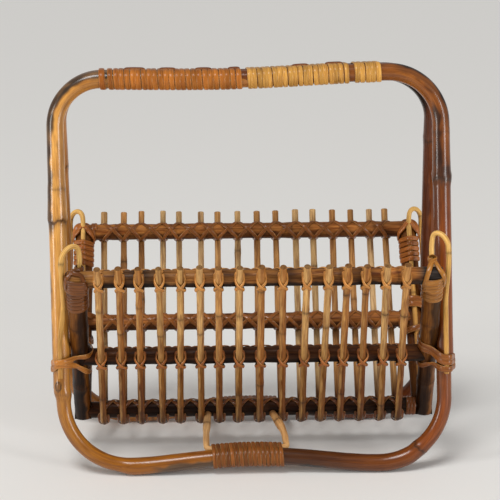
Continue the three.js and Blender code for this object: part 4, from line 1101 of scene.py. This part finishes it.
for face, side in CORNERS:
    route = loop_route(face, side)
    seed = corner_seed(700, face, side)
    s = lengths_along(route)
    end = s[-1]
    look = cane_look(
        ((0, (176, 122, 60)), (end * 0.35, (214, 162, 84)), (end * 0.5, (236, 190, 110)),
         (end * 0.75, (226, 174, 92)), (end, (206, 152, 78))),
        rings=((end * 0.28, 0.2, 0.5, 0.4, 0), (end * 0.62, 0.25, 0.5, 0.4, 0)),
        stains_and_painted_light=(((120, 78, 42), 0, end, 10, 2.6, 0.35, 0.5),),
        variety=0.14, waves=0.1,
    )
    loop = tube(route, CANE_RADIUS * (0.96 + 0.06 * wander(s, seed, 60)), look, 20, seed)
    add_piece(f"{face}_corner_loop_{side}", loop_cane, "pale_cane", loop)


# Corner lashings: turns round the post and the loop's inner leg, then a pass over the rail's end and round
# the leg. A lashing is (turns, pitch, height of its hold on the leg, colour, heights of its runs on the end
# of the rail). A station is aside, out and up from the post's axis at the top rail, then the way the strip
# faces.

TURN_TILT = 0.1
TURN_RADIUS = 9.55
REAR_LASHING = (4.5, 5.6, 3.4, (178, 108, 52), ())
CORNER_LASHINGS = by_corner(
    (5.5, 5, 4, (120, 71, 32), (5.6, 2, -1.6, -5.2, -8.8)),
    (3.5, 5.4, 10.6, (166, 110, 46), (2.2, -1.6, -5.4, -9.2)),
    REAR_LASHING, REAR_LASHING,
)
FRONT_CROSSINGS = {"left": (4, -0.6, 9.4), "right": (0.2, -9.2, 10.4)}


def over_rail(aside, theta, lift=SKIN_GAP):
    out, up = around_rail(theta, lift)
    return aside, out, up, 0.1 * aside / POST_RADIUS, out / RAIL_SKIN, up / RAIL_SKIN


def front_pass(leg, hold, crossing):
    """Over the rail's end from both sides: its two runs cross before the leg and meet behind it."""
    x, out, up = crossing
    flank = leg_out - 0.6
    slope = (lerp(out, -flank, 0.55), max(hold, 7.4))
    return [
        (10, 3.4, -10.4, 1, 0.4, 0), (10.2, 6.2, -4.6, 0.9, 0.5, 0), (9.9, 7.2, 1.4, 0.8, 0.6, 0.1),
        over_rail(8.6, 52, 0.5), over_rail(6.2, 78),
        (x, out, up, 0.1, 0.8, 0.6), (leg - 2.8, *slope, -0.6, 0.6, 0.6),
        (leg - 3.2, -flank, hold, -1, 0.3, 0), (leg, -leg_back, hold, 0, -1, 0),
        (leg + 3.2, -flank, hold, 1, 0.3, 0), (leg + 2.8, *slope, 0.6, 0.6, 0.6),
        (x, out + 1, up + 0.8, -0.1, 0.8, 0.6),
        over_rail(-5.2, 66, 0.9), over_rail(-7, 36, 0.5), over_rail(-8.4, 2), over_rail(-9.4, -36),
        (-10, 2.6, -11, -1, 0.3, 0), (-8, -7, -12.4, -0.8, -0.6, 0), (leg, -leg_back, -13, 0, -1, 0),
        (8.2, -6.6, -12.4, 0.8, -0.6, 0),
    ]


def rear_pass(hold):
    """Across the leg on the basket's inside, then down on both sides and over the rail's end."""
    climb = [(9.8, -7, -6, 0.8, -0.6, 0), (5, -11.4, -1, 0.6, -0.8, 0.1),
             (2.4, -14.2, hold - 1.2, 0.6, -0.8, 0.1)]
    descent = [(-x, out, up, -fx, fo, fu) for x, out, up, fx, fo, fu in climb[::-1]]
    return [
        (10, -2, -10.4, 1, -0.2, 0), *climb, (0, -leg_back, hold, 0, -1, 0.1), *descent,
        (-10.2, 2, -10.6, -1, 0.2, 0), over_rail(-8.6, -30), over_rail(-6.4, 30), over_rail(-2, 84),
        over_rail(3, 118), over_rail(7.4, 160), (9.9, -7.4, -5.6, 0.8, -0.6, 0), (10, -1, -10.6, 1, -0.1, 0),
    ]


def corner_arc(level):
    """A run across the front of the rail's end, from the post's outer side to under the rail."""
    return [
        (8.6, -5.4, level - 1, 0.85, -0.5, 0), (10.3, 1, level - 0.4, 1, 0.1, 0),
        (8.6, 6.6, level, 0.8, 0.6, 0), (4.6, 9.8, level + 0.3, 0.4, 0.9, 0.1),
        (0, 10.7, level, 0, 1, 0.1), (-4.6, 10.2, level - 0.6, -0.4, 0.9, 0),
        (-8, 9.2, level - 1.6, -0.7, 0.7, -0.1), (-9.6, 6.4, min(level - 4, -7.2), -0.8, 0.6, -0.3),
        (-10.1, 2.4, -11, -1, 0.3, 0),
    ]


def corner_lashing(face, side):
    aside, top, leg = SIDE_SIGN[side], rail_up(face, "top"), -LEG_ASIDE[face, side]
    turns, pitch, hold, colour, arcs = CORNER_LASHINGS[face, side]
    high = top - 11.6

    def origin(share):
        return on_post(face, side, lerp(high - turns * pitch, high, share))

    def put(place):
        dx, out, rise, fx, fo, fu = place
        return [*on_post(face, side, top + rise, dx, out), *panel_way(face, aside * fx, fu, fo)]

    tilted = OUTWARDS[face] + UPWARDS[face] * TURN_TILT
    circles = steady((0, 0, TURN_RADIUS), (leg, -leg_out, CANE_RADIUS + 0.3))
    stations = winding(circles, origin, ACROSS * aside, tilted, turns)
    over_end = front_pass(leg, hold, FRONT_CROSSINGS[side]) if face == "front" else rear_pass(hold)
    seed = corner_seed(740, face, side)
    # Dark edges paint shade into the grooves between the lashing's turns
    look = {"edge": [0.45 * part for part in colour], "variety": 0.24}
    runs = [strip(stations + [put(place) for place in over_end], pitch - 0.5, 1.5, colour, seed, **look)]
    for number, level in enumerate(arcs):
        stations = [put(place) for place in corner_arc(level)]
        runs.append(strip(stations, 4, 1.5, colour, seed + 5 + number, **look))
    add_piece(f"{face}_corner_lashing_{side}", lashing_cane, "red_lashing", *runs)


for face, side in CORNERS:
    corner_lashing(face, side)


# Middle ties bind a hoop's pole, the loop's outer leg and the post. A turn is given by how far it stands
# above the tie's height on the pole and on the leg, then above the rail's axis at the post's outward and
# inner sides.

TIE_TURNS = {
    "left": ((3.4, 8, 10.6, 6), (-3, 4.6, -4.5, -20)),
    "right": ((5, 8.4, 17.6, 19), (0.4, 3, 12, 13), (-4.6, -4, -6, -14)),
}
TIE_TONES = by_corner((180, 116, 50), RED_BROWN, RED_BROWN, RED_BROWN)
TIE_POLE_SKIN = POLE_RADIUS + 0.7
TIE_LEG_SKIN = CANE_RADIUS + 0.6
TIE_POST_SKIN = 9.7


def middle_tie(face, side):
    sign, aside, rail = FACE_SIGN[face], SIDE_SIGN[side], rail_up(face, "middle")
    turns = TIE_TURNS[side]

    def by_pole(dx, dy, rise, fx, fy):
        place = pole_at(face, side, tie_height(face) + rise) + (aside * dx, sign * dy, 0)
        return [*place, aside * fx, sign * fy, fy * tan(hoop_lean)]

    def by_post(dx, out, rise, fx, fo):
        return [*on_post(face, side, rail + rise, dx, out), *panel_way(face, aside * fx, 0, fo)]

    pole_part, leg_part = DIAGONAL * TIE_POLE_SKIN, DIAGONAL * TIE_LEG_SKIN
    post_part = DIAGONAL * TIE_POST_SKIN
    stations = []
    for number, (pole_rise, leg_rise, front_rise, inner_rise) in enumerate(turns):
        next_rise = turns[min(number + 1, len(turns) - 1)][0]
        leg_front = leg_on_pole + leg_part + (1.3 if number == 0 else 0)
        beside_rail = -TIE_POST_SKIN - (2.6 if abs(inner_rise) < 10 else 0)
        stations += [
            by_pole(TIE_POLE_SKIN, 0, pole_rise, 1, 0),
            by_pole(pole_part, pole_part, lerp(pole_rise, leg_rise, 0.3), 1, 1),
            by_pole(leg_part, leg_front, leg_rise, 1, 2),
            by_pole(-leg_part, leg_front, leg_rise + 0.3, -1, 2),
            by_post(1, TIE_POST_SKIN, front_rise, 0, 1),
            by_post(-post_part, post_part, lerp(1.18 * front_rise, inner_rise, 0.6), -1, 1),
            by_post(beside_rail, 0, inner_rise, -1, 0),
            by_post(-POST_RADIUS / 2, -leg_back, inner_rise, -1, -2),
            by_post(POST_RADIUS / 2, -leg_back, lerp(inner_rise, front_rise, 0.3), 1, -2),
            by_pole(pole_part, -pole_part, lerp(pole_rise, next_rise, 0.6), 1, -1),
        ]
    tie = strip(stations, 6, 1.4, TIE_TONES[face, side], corner_seed(780, face, side))
    add_piece(f"{face}_middle_tie_{side}", lashing_cane, "red_lashing", tie)


for face, side in CORNERS:
    middle_tie(face, side)


# Floor, lights and camera

FLOOR_SIZE = 18.0
FLOOR_SINK = 0.0005
bpy.ops.mesh.primitive_plane_add(size=FLOOR_SIZE, location=(0, 0, -FLOOR_SINK))
floor = bpy.context.object
floor.name = "floor"
ground = bpy.data.materials.new("pale_floor")
ground.use_nodes = True
ground_inputs = ground.node_tree.nodes["Principled BSDF"].inputs
ground_inputs["Base Color"].default_value = (*linear((236, 234, 230)), 1)
ground_inputs["Roughness"].default_value = 0.8
floor.data.materials.append(ground)


def towards(azimuth, elevation):
    """A direction given by degrees from the front, towards the right, and by degrees above the floor."""
    turn, rise = radians(azimuth), radians(elevation)
    return Vector((sin(turn) * cos(rise), -cos(turn) * cos(rise), sin(rise)))


def add_lamp(name, kind, azimuth, elevation, distance, target, **settings):
    light = bpy.data.lights.new(name, kind)
    for key, value in settings.items():
        setattr(light, key, value)
    way = towards(azimuth, elevation)
    lamp = bpy.data.objects.new(name, light)
    lamp.location = Vector(target) + way * distance
    lamp.rotation_euler = way.to_track_quat("Z", "Y").to_euler()
    bpy.context.scene.collection.objects.link(lamp)


# The softboxes shine up and over the rack, so that the floor near them isn't too bright
SOFTBOX = {"shape": "RECTANGLE", "size_y": 1.6}
SOFTBOX_PLACE = (-38, 2.4, (0, 0, 2.2))
add_lamp("key", "AREA", -62, *SOFTBOX_PLACE, energy=20, size=0.34, color=(1, 0.985, 0.96), **SOFTBOX)
add_lamp("fill", "AREA", 46, *SOFTBOX_PLACE, energy=22, size=0.44, color=(0.98, 0.99, 1), **SOFTBOX)
add_lamp("overhead", "SUN", -28, 62, 3, (0, 0, 0), energy=1.58, angle=radians(22))

world = bpy.data.worlds.new("studio")
world.use_nodes = True
world.node_tree.nodes["Background"].inputs["Color"].default_value = (1, 1, 1, 1)
world.node_tree.nodes["Background"].inputs["Strength"].default_value = 0.3
bpy.context.scene.world = world

FOCAL_LENGTH = 115.2
SENSOR_WIDTH = 36
CAMERA_PLACE = (0.00023, -1.57644, 0.63819)
CAMERA_TURN, CAMERA_PITCH, CAMERA_ROLL = radians(-1.3), radians(90 - 15.11), radians(-0.34)
camera_data = bpy.data.cameras.new("camera")
camera_data.lens = FOCAL_LENGTH
camera_data.sensor_width = SENSOR_WIDTH
camera = bpy.data.objects.new("camera", camera_data)
camera.matrix_world = (
    Matrix.Rotation(CAMERA_TURN, 4, "Z")
    @ Matrix.Translation(CAMERA_PLACE)
    @ Matrix.Rotation(CAMERA_PITCH, 4, "X")
    @ Matrix.Rotation(CAMERA_ROLL, 4, "Z")
)
bpy.context.scene.collection.objects.link(camera)
bpy.context.scene.camera = camera
bpy.context.scene.view_settings.view_transform = "Standard"

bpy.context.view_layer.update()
